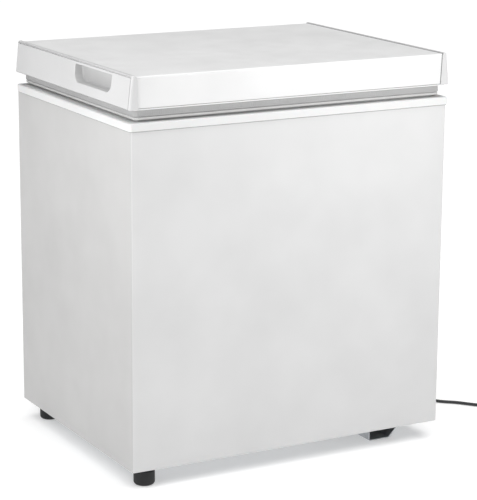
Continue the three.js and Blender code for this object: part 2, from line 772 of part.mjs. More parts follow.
function cordRoute() {
  const floor = CORD_RADIUS + 0.5;
  const { x, y, z } = CORD_EXIT;
  const places = [
    [x, y + RELIEF_LENGTH + 2 * GAP, z],
    [x, y + 50, z - 0.6],
    [x + 1, y + 67, z - 5],
    [x + 5, y + 83, z - 17],
    [x + 12, y + 94, z - 34],
    [x + 25, y + 102, z - 47],
    [x + 44, y + 104, floor + 2.8],
    [x + 66, y + 96, floor],
    [x + 90, y + 68, floor],
    [x + 108, y + 24, floor],
    [x + 128, y - 45, floor],
    [x + 137, y - 110, floor],
    [x + 143, y - 180, floor],
    [x + 149, y - 250, floor],
    [x + 156, y - 315, floor],
    [x + 171, y - 363, floor],
    [x + 205, y - 395, floor],
    [x + 236, y - 431, floor],
    [x + 262, y - 453, floor],
    [COIL.x - COIL_CLEAR, COIL.y - COIL.turn_radius, floor],
  ];
  return places.map(([px, py, pz]) => new THREE.Vector3(px, py, pz));
}

function makeCord() {
  const { x, y, z } = CORD_EXIT;
  const relief = lathe([
    [0, -8],
    [8.5, -8],
    [8.5, -3.5 - GAP],
    [6, -3.5 - GAP],
    [6, GAP],
    [8.5, GAP],
    [8.5, 4],
    [4.6, RELIEF_LENGTH],
    [0, RELIEF_LENGTH],
  ], 24);
  add("cord_strain_relief", relief.rotateX(-Math.PI / 2).translate(x, y, z), blackPlastic());

  const curve = new THREE.CatmullRomCurve3(cordRoute(), false, "centripetal");
  const steps = 50;
  add("power_cord", sweep(curve.getSpacedPoints(steps), CORD_RADIUS), blackPlastic());
}

function makeCoil() {
  const { x, y, inner, outer, low, high } = COIL;
  const bulge = 3;
  const turns = lathe([
    [inner, low + bulge],
    [inner + bulge, low],
    [outer - bulge, low],
    [outer, low + bulge],
    [outer, high - bulge],
    [outer - bulge, high],
    [inner + bulge, high],
    [inner, high - bulge],
    [inner, low + bulge],
  ], 32);
  add("cord_coil", turns.translate(x, y, 0), blackPlastic());

  // A strap round the whole bundle, on the far side of the coil.
  const strap = 1.2;
  const half = 5;
  const slack = 0.8;
  const [near, far] = [inner - slack, outer + GAP];
  const around = box(near - strap, far + strap, -half, half, GAP, high + GAP + strap);
  const within = box(near, far, -half - 1, half + 1, GAP + strap, high + GAP);
  const tie = cut(around, within).rotateZ(Math.PI * 0.6).translate(x, y, 0);
  add("cord_tie", tie, blackPlastic());
}

// The plug lies beside the coil on the cord's last straight stretch.
const PLUG = { y: -74, length: 40, half_width: 13, half_height: 9.5 };

function makePlug() {
  const x = COIL.x + COIL.turn_radius;
  const z = PLUG.half_height + 0.3;
  const neck = 14;
  const upper = COIL.high - CORD_RADIUS - 0.7; // height of the coil's upper layer
  const tail = [
    [x, COIL.y + COIL_CLEAR, upper],
    [x, COIL.y + COIL_CLEAR + 9, (upper + z) / 2],
    [x, PLUG.y - neck - 6, z],
    [x, PLUG.y - neck - GAP, z],
  ].map(([px, py, pz]) => new THREE.Vector3(px, py, pz));
  add("cord_tail", sweep(tail, CORD_RADIUS), blackPlastic());

  const grip = roundedRectangle(-PLUG.half_width, PLUG.half_width, -PLUG.half_height, PLUG.half_height, 7);
  const body = extrudeUp(grip, 0, PLUG.length);
  const collar = lathe([[0, -neck], [4.6, -neck], [7.5, 1], [0, 1]], 16);
  const plug = join(body, collar).rotateX(-Math.PI / 2).translate(x, PLUG.y, z);
  add("plug_body", plug, blackPlastic());

  const face = PLUG.y + PLUG.length + GAP;
  const brass = () => paint(0xc9b27a, 0.3, 0.9);
  add("plug_blade_line", box(x - 7.1, x - 5.6, face, face + 17, z, z + 6.4), brass());
  add("plug_blade_neutral", box(x + 5.6, x + 7.1, face, face + 17, z, z + 6.4), brass());
  add("plug_ground_pin", rod("y", 2.4, 19, x, face + 9.5, z - 5, 16), brass());
}

makeCabinetShell();
makeFloorPanels();
makeDrain();
makeCollar();
makeLiner();
makeInsulation();
makeWallTubes();
makeFeet();
makeBaseChannel();
makeCompressor();
makePipework();
makeRearCover();
makeSideGrille();
makeLidPanel();
makeEndCap("lid_end_cap_left", -1);
makeEndCap("lid_end_cap_right", 1);
makeLidInside();
makeHinge("left", -HINGE.x);
makeHinge("right", HINGE.x);
makeBasket();
makeCord();
makeCoil();
makePlug();

export default freezer;
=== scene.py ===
"""Looks of the compact chest freezer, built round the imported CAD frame.

Shapes are drawn in millimetres, in the frame's own axes: +X right, +Y back, +Z up, the floor at z = 0.
"""

import math

import bmesh
import bpy
from mathutils import Matrix, Vector
from mathutils.geometry import tessellate_polygon


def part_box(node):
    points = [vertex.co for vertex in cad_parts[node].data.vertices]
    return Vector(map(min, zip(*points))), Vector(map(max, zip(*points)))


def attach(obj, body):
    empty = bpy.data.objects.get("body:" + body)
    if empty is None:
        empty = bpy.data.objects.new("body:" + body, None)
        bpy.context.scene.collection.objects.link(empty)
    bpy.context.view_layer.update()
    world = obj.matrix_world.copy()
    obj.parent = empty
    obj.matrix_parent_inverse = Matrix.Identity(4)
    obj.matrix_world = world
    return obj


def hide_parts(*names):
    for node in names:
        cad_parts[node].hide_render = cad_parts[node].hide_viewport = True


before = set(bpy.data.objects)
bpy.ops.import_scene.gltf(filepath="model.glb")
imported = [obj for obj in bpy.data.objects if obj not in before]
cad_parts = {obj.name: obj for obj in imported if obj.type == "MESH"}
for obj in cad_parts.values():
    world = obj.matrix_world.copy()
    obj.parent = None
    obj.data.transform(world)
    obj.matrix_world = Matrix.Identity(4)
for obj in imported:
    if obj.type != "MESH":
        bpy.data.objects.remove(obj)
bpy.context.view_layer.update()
MM = 0.001


def link(obj):
    bpy.context.scene.collection.objects.link(obj)


# ---- camera ----

CAMERA_PLACE = (-2.0329, -3.7599, 1.4345)
CAMERA_AIM = (0.46773, 0.85191, -0.23552)
CAMERA_YAW, CAMERA_ROLL = 28.77, 0.384
CAMERA_LENS = 145.4


def make_camera():
    """Sets the camera up from its place in metres, its aim, and its yaw and roll in degrees."""
    yaw = math.radians(CAMERA_YAW)
    roll = math.radians(CAMERA_ROLL)
    forward = Vector(CAMERA_AIM).normalized()
    level = Vector((math.cos(yaw), -math.sin(yaw), 0.0))
    above = level.cross(forward)
    right = math.cos(roll) * level + math.sin(roll) * above
    up = math.cos(roll) * above - math.sin(roll) * level
    data = bpy.data.cameras.new("camera")
    data.lens = CAMERA_LENS
    data.sensor_width = 36.0
    data.clip_end = 60.0
    camera = bpy.data.objects.new("camera", data)
    turn = Matrix((right, up, -forward)).transposed().to_4x4()
    camera.matrix_world = Matrix.Translation(CAMERA_PLACE) @ turn
    link(camera)
    bpy.context.scene.camera = camera


make_camera()


# ---- places taken from the frame ----

def span(node):
    """A node's box in millimetres: (x0, x1), (y0, y1), (z0, z1)."""
    low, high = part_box(node)
    return [(low[i] * 1000, high[i] * 1000) for i in range(3)]


def plan(node):
    """A node's plan bounds (x0, x1, y0, y1) in millimetres."""
    (x0, x1), (y0, y1), _ = span(node)
    return (x0, x1, y0, y1)


def grow(bounds, amount):
    """Plan bounds moved outwards, or inwards where the amount is negative."""
    x0, x1, y0, y1 = bounds
    return (x0 - amount, x1 + amount, y0 - amount, y1 + amount)


CABINET = plan("outer_wrap")
BASE, TOP = span("outer_wrap")[2]
SHEET = 0.9
OPENING = grow(CABINET, -64.3)
LID_X = span("lid_end_cap_right")[0][1]
LID_FRONT, LID_REAR = span("lid_end_cap_right")[1]
LID_LOW, LID_TOP = span("lid_end_cap_right")[2]


# ---- materials ----

def new_node(tree, kind, **settings):
    node = tree.nodes.new(kind)
    for key, value in settings.items():
        node.inputs[key].default_value = value
    return node


def pattern(tree, coords, scale, kind="noise", detail=2.0):
    """A texture whose features are 1/scale metres long on each axis."""
    mapping = tree.nodes.new("ShaderNodeMapping")
    mapping.inputs["Scale"].default_value = scale if isinstance(scale, tuple) else (scale,) * 3
    tree.links.new(coords, mapping.inputs["Vector"])
    if kind == "noise":
        texture = new_node(tree, "ShaderNodeTexNoise", Scale=1.0, Detail=detail)
        output = texture.outputs["Fac"]
    else:
        texture = new_node(tree, "ShaderNodeTexVoronoi", Scale=1.0)
        output = texture.outputs["Distance" if kind == "cells" else "Color"]
    tree.links.new(mapping.outputs["Vector"], texture.inputs["Vector"])
    return output


def spread(tree, value, low, high):
    """Maps the middle of a texture's range to the stretch between two numbers."""
    node = tree.nodes.new("ShaderNodeMapRange")
    node.inputs["From Min"].default_value = 0.3
    node.inputs["From Max"].default_value = 0.7
    node.inputs["To Min"].default_value = low
    node.inputs["To Max"].default_value = high
    tree.links.new(value, node.inputs["Value"])
    return node.outputs["Result"]


def surface(name, colour, roughness, metallic=0.0, drift=0.03, drift_scale=7.0, flecks=None,
            gloss_swing=0.05, bumps=(), **sockets):
    """A procedural finish. Each bump is (features per metre, height in mm), and a kind if not noise."""
    material = bpy.data.materials.new(name)
    material.use_nodes = True
    tree = material.node_tree
    shader = tree.nodes["Principled BSDF"]
    shader.inputs["Metallic"].default_value = metallic
    for key, value in sockets.items():
        shader.inputs[key.replace("_", " ")].default_value = value
    coords = tree.nodes.new("ShaderNodeTexCoord").outputs["Object"]

    mix = tree.nodes.new("ShaderNodeMix")
    mix.data_type = "RGBA"
    mix.inputs["A"].default_value = tuple(c * (1 - drift) for c in colour) + (1.0,)
    mix.inputs["B"].default_value = tuple(min(c * (1 + drift), 1.0) for c in colour) + (1.0,)
    fleck_scale, fleck_kind = flecks or (drift_scale, "noise")
    tone = pattern(tree, coords, fleck_scale, fleck_kind)
    tree.links.new(spread(tree, tone, 0.0, 1.0), mix.inputs["Factor"])
    tree.links.new(mix.outputs["Result"], shader.inputs["Base Color"])

    gloss = pattern(tree, coords, 25.0, "noise", 4.0)
    swing = spread(tree, gloss, roughness - gloss_swing, roughness + gloss_swing)
    tree.links.new(swing, shader.inputs["Roughness"])

    normal = None
    for scale, height, *kind in bumps:
        bump = new_node(tree, "ShaderNodeBump", Distance=height * MM)
        tree.links.new(pattern(tree, coords, scale, *kind), bump.inputs["Height"])
        if normal:
            tree.links.new(normal, bump.inputs["Normal"])
        normal = bump.outputs["Normal"]
    if normal:
        tree.links.new(normal, shader.inputs["Normal"])
    return material


ORANGE_PEEL = (420, 0.05)
PAINT_FRONT = surface("paint_front", (0.71, 0.71, 0.71), 0.4, bumps=(
    ORANGE_PEEL, ((30, 30, 330), 0.05), (3, 0.6)))
# Same white paint as the front, set darker: painted shade, as less light falls on the sides. The grain bumps
# are the sheet's own.
PAINT_SIDE_SHADED = surface("paint_side_painted_shade", (0.57, 0.567, 0.563), 0.42, bumps=(
    ORANGE_PEEL, ((420, 420, 30), 0.06), (3, 0.6)))
# The cabinet's white paint set lighter for the lid sheet: painted light on the top, which faces the overhead
# light.
LID_PAINT_LIT = surface("lid_paint_painted_light", (0.81, 0.81, 0.81), 0.45)
WHITE_PLASTIC = surface("white_plastic", (0.77, 0.772, 0.77), 0.36, bumps=(
    (1400, 0.02), (12, 0.05)), Subsurface_Weight=0.05, Subsurface_Scale=0.004)
# A dark strip along the end caps' seams: painted shade in the seam.
SEAM_SHADE_STRIP = surface("seam_painted_shade", (0.2, 0.2, 0.205), 0.6, bumps=((800, 0.03),))
# A grey strip under the collar's skirt: painted shadow of the skirt's overhang.
COLLAR_SHADOW_STRIP = surface("collar_painted_shadow", (0.34, 0.34, 0.34), 0.6, bumps=((800, 0.03),))
CAP_PLASTIC = surface("cap_plastic", (0.66, 0.66, 0.662), 0.36, bumps=((600, 0.02),))
# The caps' white plastic set darker for the hand recess: painted shade inside the pocket.
RECESS_SHADE_PLASTIC = surface("recess_painted_shade", (0.56, 0.56, 0.56), 0.5, bumps=((500, 0.02),))
SEAL_VINYL = surface("seal_vinyl", (0.62, 0.62, 0.615), 0.55, drift=0.05, bumps=((500, 0.04),))
# The seal's vinyl set darker for its skirt: painted shade under the lid's overhang.
SEAL_SKIRT_SHADE = surface("gasket_vinyl", (0.43, 0.43, 0.43), 0.62, drift=0.06, bumps=((900, 0.04),))
LINER = surface("liner_sheet", (0.8, 0.815, 0.83), 0.34, drift=0.02, bumps=((190, 0.16, "cells"),))
ZINC = surface("zinc_steel", (0.6, 0.62, 0.64), 0.4, 0.85, drift=0.05, flecks=(130.0, "flakes"),
               gloss_swing=0.09, bumps=((800, 0.012),))
BLACK_PAINT = surface("black_paint", (0.022, 0.023, 0.025), 0.34, drift=0.2, bumps=((350, 0.05),))
BLACK_PLASTIC = surface("black_plastic", (0.028, 0.029, 0.031), 0.5, drift=0.15, bumps=((1100, 0.03),))
RUBBER = surface("black_rubber", (0.022, 0.022, 0.023), 0.68, drift=0.25, bumps=((700, 0.05), (60, 0.05)))
CORD_VINYL = surface("cord_vinyl", (0.03, 0.031, 0.033), 0.42, drift=0.2, drift_scale=40.0, bumps=(
    (900, 0.03), (120, 0.05)))
ALUMINIUM = surface("bare_aluminium", (0.78, 0.79, 0.8), 0.32, 1.0, drift=0.05, bumps=((600, 0.02),))
COPPER = surface("copper_tube", (0.75, 0.38, 0.22), 0.3, 1.0, drift=0.14, drift_scale=30.0, bumps=(
    (500, 0.02),))
BRASS = surface("plug_brass", (0.8, 0.62, 0.3), 0.26, 1.0, drift=0.06, bumps=(((80, 900, 80), 0.01),))
FOAM = surface("foam", (0.8, 0.68, 0.42), 0.9, drift=0.1, drift_scale=60.0, bumps=((700, 0.5, "cells"),))
BASKET_COAT = surface("basket_wire", (0.85, 0.855, 0.86), 0.3, bumps=((700, 0.03),))
FLOOR = surface("floor_paper", (0.72, 0.72, 0.72), 0.85, drift=0.004, bumps=((300, 0.05),),
                Emission_Color=(1.0, 1.0, 1.0, 1.0), Emission_Strength=0.36)


# ---- shape helpers ----

class Shape:
    """Points in millimetres and the faces between them, gathered before they become a mesh."""

    def __init__(self):
        self.points = []
        self.faces = []

    def loop(self, points):
        start = len(self.points)
        self.points.extend(points)
        return list(range(start, len(self.points)))

    def bridge(self, first, second, closed=True):
        count = len(first)
        for i in range(count if closed else count - 1):
            j = (i + 1) % count
            self.faces.append((first[i], first[j], second[j], second[i]))

    def loft(self, rows, closed=True, ring=False, caps=False):
        loops = [self.loop(row) for row in rows]
        for first, second in zip(loops, loops[1:]):
            self.bridge(first, second, closed)
        if ring:
            self.bridge(loops[-1], loops[0], closed)
        if caps:
            self.faces.append(tuple(loops[0]))
            self.faces.append(tuple(loops[-1]))
        return loops

    def plate_with_hole(self, outer, inner):
        """Fills the flat ring between two loops already in the shape."""
        rings = [[Vector(self.points[i]) for i in ring] for ring in (outer, inner)]
        index = list(outer) + list(inner)
        for triangle in tessellate_polygon(rings):
            self.faces.append(tuple(index[i] for i in triangle))

    def add(self, other, move=None):
        start = len(self.points)
        self.points.extend(move(p) if move else p for p in other.points)
        self.faces.extend(tuple(i + start for i in face) for face in other.faces)


def dress(obj, material, sharp=35.0, bevel=0.0):
    """Gives an object its finish, smooth shading with crisp folds, and softened edges."""
    obj.data.materials.clear()
    obj.data.materials.append(material)
    obj.data.shade_smooth()
    obj.data.set_sharp_from_angle(angle=math.radians(sharp))
    if bevel:
        edge = obj.modifiers.new("edges", "BEVEL")
        edge.width = bevel * MM
        edge.segments = 2
        edge.limit_method = "ANGLE"
        edge.angle_limit = math.radians(38)
    soft = obj.modifiers.new("shading", "WEIGHTED_NORMAL")
    soft.keep_sharp = True


def piece(name, shape, material, body="cabinet", stands_for=(), sharp=35.0):
    mesh = bpy.data.meshes.new(name)
    mesh.from_pydata([Vector(p) * MM for p in shape.points], [], shape.faces)
    work = bmesh.new()
    work.from_mesh(mesh)
    bmesh.ops.remove_doubles(work, verts=work.verts, dist=1e-6)
    bmesh.ops.recalc_face_normals(work, faces=work.faces)
    work.to_mesh(mesh)
    work.free()
    obj = bpy.data.objects.new(name, mesh)
    link(obj)
    dress(obj, material, sharp)
    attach(obj, body)
    if stands_for:
        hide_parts(*stands_for)
    return obj


def thicken(obj, thickness, offset):
    skin = obj.modifiers.new("thickness", "SOLIDIFY")
    skin.thickness = thickness * MM
    skin.offset = offset
    obj.modifiers.move(len(obj.modifiers) - 1, 0)


def corner_arc(cx, cy, radius, start, steps):
    """A quarter turn, anticlockwise from the start angle in degrees."""
    angles = [math.radians(start + 90 * i / steps) for i in range(steps + 1)]
    return [(cx + radius * math.cos(angle), cy + radius * math.sin(angle)) for angle in angles]


def rounded(bounds, radii, steps=6):
    """A rectangle with round corners: radii from the low-low corner, anticlockwise."""
    u0, u1, v0, v1 = bounds
    a, b, c, d = radii if isinstance(radii, tuple) else (radii,) * 4
    points = corner_arc(u0 + a, v0 + a, a, 180, steps)
    points += corner_arc(u1 - b, v0 + b, b, 270, steps)
    points += corner_arc(u1 - c, v1 - c, c, 0, steps)
    points += corner_arc(u0 + d, v1 - d, d, 90, steps)
    return points


def level(bounds, radius, z):
    """One horizontal loop of a lofted rim or tray."""
    return [(x, y, z) for x, y in rounded(bounds, max(radius, 0.4))]


def fillet(radius, steps):
    """(sine, cosine) offsets along a quarter arc, for rounding a profile's corner."""
    angles = [math.radians(90 * i / steps) for i in range(steps + 1)]
    return [(radius * math.sin(angle), radius * math.cos(angle)) for angle in angles]


def circle(radius, steps):
    angles = [2 * math.pi * i / steps for i in range(steps)]
    return [(radius * math.cos(angle), radius * math.sin(angle)) for angle in angles]


def turned(profile, place, steps=48):
    """A profile of (radius, height) turned about the upright line through a place."""
    x, y, z = place
    shape = Shape()
    rows = [[(u + x, v + y, height + z) for u, v in circle(radius, steps)] for radius, height in profile]
    shape.loft(rows, caps=True)
    return shape


def tube(points, radius, sides=10, closed=False):
    """A round bar along a list of points, turned so that it never twists."""
    shape = Shape()
    route = [Vector(p) for p in points]
    count = len(route)
    side = None
    rows = []
    for i, here in enumerate(route):
        before = route[i - 1] if closed or i else here
        after = route[(i + 1) % count] if closed or i < count - 1 else here
        ahead = (after - before).normalized()
        if side is None:
            side = ahead.orthogonal().normalized()
        side = (side - ahead * side.dot(ahead)).normalized()
        up = ahead.cross(side)
        rows.append([here + u * side + v * up for u, v in circle(radius, sides)])
    shape.loft(rows, ring=closed, caps=not closed)
    return shape


# ---- mains lead ----

CORD_RADIUS = 3.5
CORD_EXIT = (336.0, 275.0, 62.0)
RELIEF_LENGTH = 34.0
COIL_CENTRE = (656.0, -140.0)
COIL_OUTER, COIL_INNER = 45.6, 38.4
COIL_LOW, COIL_HIGH = 5.3, 12.6
PLUG_Y, PLUG_LENGTH, PLUG_NECK = -74.0, 40.0, 14.0
PLUG_Z = 9.8


def straight_route():
    """The given points of the stretch that isn't coiled: hanging, touching down, lying."""
    x, y, z = CORD_EXIT
    floor = CORD_RADIUS + 0.5
    hanging = (
        (0, 12, 0), (0, RELIEF_LENGTH + 0.6, 0), (0, 50, -0.6), (1, 67, -5),
        (5, 83, -17), (12, 94, -34), (25, 102, -47),
    )
    lying = (
        (66, 96), (90, 68), (108, 24), (128, -45), (137, -110), (143, -180),
        (149, -250), (156, -315), (171, -363), (205, -395), (236, -431), (262, -453),
    )
    points = [(x + across, y + along, z + up) for across, along, up in hanging]
    points += [(x + 44, y + 104, floor + 2.8)]
    points += [(x + across, y + along, floor) for across, along in lying]
    points += [(COIL_CENTRE[0] - 28, COIL_CENTRE[1] - COIL_OUTER, floor)]
    return points + [(COIL_CENTRE[0] - 1, COIL_CENTRE[1] - COIL_OUTER, COIL_LOW)]


def smooth_step(value, start, end):
    share = min(max((value - start) / (end - start), 0.0), 1.0)
    return share * share * (3 - 2 * share)


def coil_route():
    """Three and a quarter turns: outer low, inner low, inner high, outer high."""
    points = []
    start, end, step = -90, 1080, 6
    swing = COIL_OUTER - COIL_INNER
    for angle in range(start, end + 1, step):
        radius = COIL_OUTER - swing * smooth_step(angle, 180, 250) + swing * smooth_step(angle, 800, 870)
        z = COIL_LOW + (COIL_HIGH - COIL_LOW) * smooth_step(angle, 460, 530)
        turn = math.radians(angle)
        points.append((COIL_CENTRE[0] + radius * math.cos(turn), COIL_CENTRE[1] + radius * math.sin(turn), z))
    return points


def tail_route():
    x = COIL_CENTRE[0] + COIL_OUTER
    y = COIL_CENTRE[1]
    return [
        (x, y + 14, COIL_HIGH),
        (x, y + 28, COIL_HIGH),
        (x, y + 37, (COIL_HIGH + PLUG_Z) / 2),
        (x, PLUG_Y - PLUG_NECK - 6, PLUG_Z),
        (x, PLUG_Y - PLUG_NECK + 4, PLUG_Z),
    ]


def centripetal(points, spacing=4.0):
    """A smooth curve through the points (centripetal Catmull-Rom), sampled evenly enough."""
    stops = [Vector(p) for p in points]
    stops = [2 * stops[0] - stops[1]] + stops + [2 * stops[-1] - stops[-2]]
    curve = []
    for a, b, c, d in zip(stops, stops[1:], stops[2:], stops[3:]):
        t1 = (b - a).length ** 0.5
        t2 = t1 + (c - b).length ** 0.5
        t3 = t2 + (d - c).length ** 0.5
        count = max(1, round((c - b).length / spacing))
        for i in range(count):
            t = t1 + (t2 - t1) * i / count
            ab = a.lerp(b, t / t1)
            bc = b.lerp(c, (t - t1) / (t2 - t1))
            cd = c.lerp(d, (t - t2) / (t3 - t2))
            abc = ab.lerp(bc, t / t2)
            bcd = bc.lerp(cd, (t - t1) / (t3 - t1))
            curve.append(abc.lerp(bcd, (t - t1) / (t2 - t1)))
    curve.append(stops[-2])
    return curve


def make_relief():
    """Tapered, ringed sleeve round the lead where it leaves the rear cover."""
    x, y, z = CORD_EXIT
    profile = [(4.4, -8), (8.3, -8), (8.5, -7.6), (8.5, -3.8), (6, -3.8)]
    profile += [(6, 0.3), (8.5, 0.3), (8.5, 3.6), (8, 4.2)]
    for ring in range(5):
        at = 5.5 + ring * 5.2
        radius = 7.2 - 0.52 * ring
        profile += [(radius - 1.1, at - 0.6), (radius, at), (radius, at + 2.6), (radius - 1.1, at + 3.2)]
    profile += [(4.6, RELIEF_LENGTH - 1), (4.2, RELIEF_LENGTH)]
    profile += [(3.6, RELIEF_LENGTH), (3.6, RELIEF_LENGTH - 3)]
    shape = turned(profile, (0, 0, 0), 40)
    placed = Shape()
    placed.add(shape, lambda p: (p[0] + x, p[2] + y, p[1] + z))
    node = "cord_strain_relief"
    return piece("lead_strain_relief", placed, BLACK_PLASTIC, stands_for=(node,))


def superellipse(half_u, half_v, power, count=32):
    """An ellipse that squares up as the power grows past two."""
    def squared(t):
        return math.copysign(abs(t) ** (2 / power), t)

    return [(half_u * squared(c), half_v * squared(s)) for c, s in circle(1.0, count)]


def make_plug():
    """Moulded plug: a ringed neck, a waisted grip with finger ribs and a flat face."""
    x = COIL_CENTRE[0] + COIL_OUTER
    stations = [(-PLUG_NECK, 3.7, 3.7, 2.0), (-PLUG_NECK, 4.4, 4.4, 2.0)]
    for ring in range(3):
        at = -12.5 + ring * 4.2
        wide = 5.0 + ring * 0.7
        steps = ((0, 0), (2.2, 0.2), (2.6, -0.9), (3.8, -0.8))
        stations += [(at + along, wide + out, wide + out, 2.0) for along, out in steps]
    stations += [(1, 7.5, 7.0, 2.4), (4, 10, 8, 2.8), (8, 11.8, 8.8, 3.2)]
    for rib in range(4):
        at = 11 + rib * 3.6
        steps = ((0, 11.6), (0.9, 10.9), (1.8, 10.9), (2.7, 11.6))
        stations += [(at + along, wide, 8.9, 3.4) for along, wide in steps]
    stations += [(28, 12.4, 9.2, 3.6), (33, 13, 9.5, 4.0), (39, 13, 9.5, 4.0)]
    stations += [(39.7, 12.6, 9.1, 4.0), (PLUG_LENGTH, 12, 8.5, 4.0)]
    shape = Shape()
    shape.loft([
        [(x + u, PLUG_Y + at, PLUG_Z + v) for u, v in superellipse(a, b, power)]
        for at, a, b, power in stations
    ], caps=True)
    return piece("lead_plug", shape, BLACK_PLASTIC, stands_for=("plug_body",), sharp=50)


def make_tie():
    """A soft strap wrapped round the whole bundle."""
    low, high = 0.5, COIL_HIGH + CORD_RADIUS + 0.5
    near, far = COIL_INNER - CORD_RADIUS - 0.5, COIL_OUTER + CORD_RADIUS + 0.5
    angle = math.pi * 0.6
    strap, half = 1.0, 5.0
    outline = rounded((near - strap, far + strap, low - 0.2, high + strap), 4.0)
    inside = rounded((near, far, low + strap - 0.2, high), 3.2)
    rows = []
    for ring, w in ((outline, -half), (outline, half), (inside, half), (inside, -half)):
        rows.append([
            (COIL_CENTRE[0] + u * math.cos(angle) - w * math.sin(angle),
             COIL_CENTRE[1] + u * math.sin(angle) + w * math.cos(angle), v)
            for u, v in ring
        ])
    shape = Shape()
    shape.loft(rows, ring=True)
    return piece("lead_tie", shape, RUBBER, stands_for=("cord_tie",))


def make_lead():
    relief = make_relief()
    plug = make_plug()
    tie = make_tie()
    route = centripetal(straight_route())[:-1]
    route += [Vector(p) for p in coil_route()]
    route += centripetal([coil_route()[-1]] + tail_route())[1:]
    data = bpy.data.curves.new("mains_lead", "CURVE")
    data.dimensions = "3D"
    spline = data.splines.new("POLY")
    spline.points.add(len(route) - 1)
    for point, place in zip(spline.points, route):
        point.co = (*(Vector(place) * MM), 1.0)
    spline.use_smooth = True
    data.bevel_depth = CORD_RADIUS * MM
    data.bevel_resolution = 5
    data.use_fill_caps = True
    data.materials.append(CORD_VINYL)
    lead = bpy.data.objects.new("mains_lead", data)
    link(lead)
    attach(lead, "cabinet")
    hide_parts("power_cord", "cord_coil", "cord_tail")
    pins = ["plug_blade_line", "plug_blade_neutral", "plug_ground_pin"]
    for node in pins:
        dress(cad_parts[node], BRASS, bevel=0.4)


make_lead()


def refined(node, material, body="cabinet", bevel=0.0):
    """A cleaned copy of a CAD node: welded, flat faces merged, edges softened."""
    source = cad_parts[node]
    mesh = source.data.copy()
    work = bmesh.new()
    work.from_mesh(mesh)
    bmesh.ops.remove_doubles(work, verts=work.verts, dist=2e-6)
    bmesh.ops.dissolve_limit(work, angle_limit=math.radians(1.0), verts=work.verts, edges=work.edges)
    bmesh.ops.recalc_face_normals(work, faces=work.faces)
    work.to_mesh(mesh)
    work.free()
    obj = bpy.data.objects.new(node + "_skin", mesh)
    link(obj)
    dress(obj, material, bevel=bevel)
    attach(obj, body)
    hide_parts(node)


# ---- cabinet ----

FOLD, REAR_FOLD = 4.0, 1.5
FLANGE = 11.0
HEM = 5.5
GRILLE_Y = (-92.0, 92.0)
GRILLE_Z = (74.0, 196.0)
DOOR = {"left": 139.0, "right": 351.0, "top": 232.0}
SWAGE = ((0, 0.0), (7, 3.2), (17, 3.2), (24, 0.0))
SKIRT_LOW, LEDGE_UNDER, LEDGE_TOP = 735.8, 738, 741
WELL_FLOOR, STEP_X, STEP_Z = 98.0, 66.0, 295.0


def wrap_outline():
    """The sheet's outer line in plan, from one rear flange round to the other."""
    x0, x1, y0, y1 = CABINET
    outline = [(x0 + FLANGE, y1), (x0 + REAR_FOLD, y1)]
    outline += corner_arc(x0 + REAR_FOLD, y1 - REAR_FOLD, REAR_FOLD, 90, 3)[1:]
    outline += corner_arc(x0 + FOLD, y0 + FOLD, FOLD, 180, 8)
    outline += corner_arc(x1 - FOLD, y0 + FOLD, FOLD, 270, 8)
    outline += [(x1, y) for y in GRILLE_Y]
    outline += corner_arc(x1 - REAR_FOLD, y1 - REAR_FOLD, REAR_FOLD, 0, 3)
    return outline + [(x1 - FLANGE, y1)]


def heading(points, i):
    """The direction of travel at one point of a line."""
    before, after = points[max(i - 1, 0)], points[min(i + 1, len(points) - 1)]
    return (Vector(after) - Vector(before)).normalized()


def turn_in_bottom(shape, outline, outside, inside):
    """Turns the sheet's bottom edge in, from just inside one rear corner round to the other."""
    x0, x1, y0, _ = CABINET
    first, last = 5, len(outline) - 5
    section = ((0.0, 1.6), (0.25, 0.75), (0.75, 0.25), (1.6, 0.0), (HEM, 0.0), (HEM, SHEET), (1.9, SHEET))
    loops = [outside[first:last]]
    for inset, drop in section:
        ring = []
        for i in range(first, last):
            ahead = heading(outline, i)
            x, y = outline[i]
            corner = min(inset, FOLD)
            ring.append((x - ahead.y * corner, y + ahead.x * corner, BASE + drop))
        if inset >= FOLD:
            ring = [(min(max(x, x0 + inset), x1 - inset), max(y, y0 + inset), z) for x, y, z in ring]
        loops.append(shape.loop(ring))
    loops.append(inside[first:last])
    for a, b in zip(loops, loops[1:]):
        shape.bridge(a, b, closed=False)


def make_wrap():
    """The front and sides: one folded sheet with its bottom edge turned in and a window for the grille."""
    outline = wrap_outline()
    inner = []
    for i, (x, y) in enumerate(outline):
        ahead = heading(outline, i)
        inner.append((x - ahead.y * SHEET, y + ahead.x * SHEET))
    levels = [BASE + 1.6, BASE + 4.0, *GRILLE_Z, TOP - 1.0, TOP]
    shape = Shape()
    skins = [[shape.loop([(x, y, z) for x, y in side]) for z in levels] for side in (outline, inner)]
    window = outline.index((CABINET[1], GRILLE_Y[0]))
    window_level = levels.index(GRILLE_Z[0])
    for skin in skins:
        for row, (low, high) in enumerate(zip(skin, skin[1:])):
            for i in range(len(outline) - 1):
                if (row, i) != (window_level, window):
                    shape.faces.append((low[i], low[i + 1], high[i + 1], high[i]))
    holes = []
    for skin in skins:
        low, high = skin[window_level], skin[window_level + 1]
        holes.append([low[window], low[window + 1], high[window + 1], high[window]])
    shape.bridge(*holes)
    shape.bridge(skins[0][-1], skins[1][-1], closed=False)
    for end in (0, len(outline) - 1):
        shape.bridge([row[end] for row in skins[0]], [row[end] for row in skins[1]], closed=False)
    turn_in_bottom(shape, outline, skins[0][0], skins[1][0])
    wrap = piece("wrap_sheet", shape, PAINT_FRONT, stands_for=("outer_wrap",))
    # Faces turned to the sides take the darker copy of the paint: painted shade.
    wrap.data.materials.append(PAINT_SIDE_SHADED)
    for face in wrap.data.polygons:
        if abs(face.normal.x) > 0.7:
            face.material_index = 1


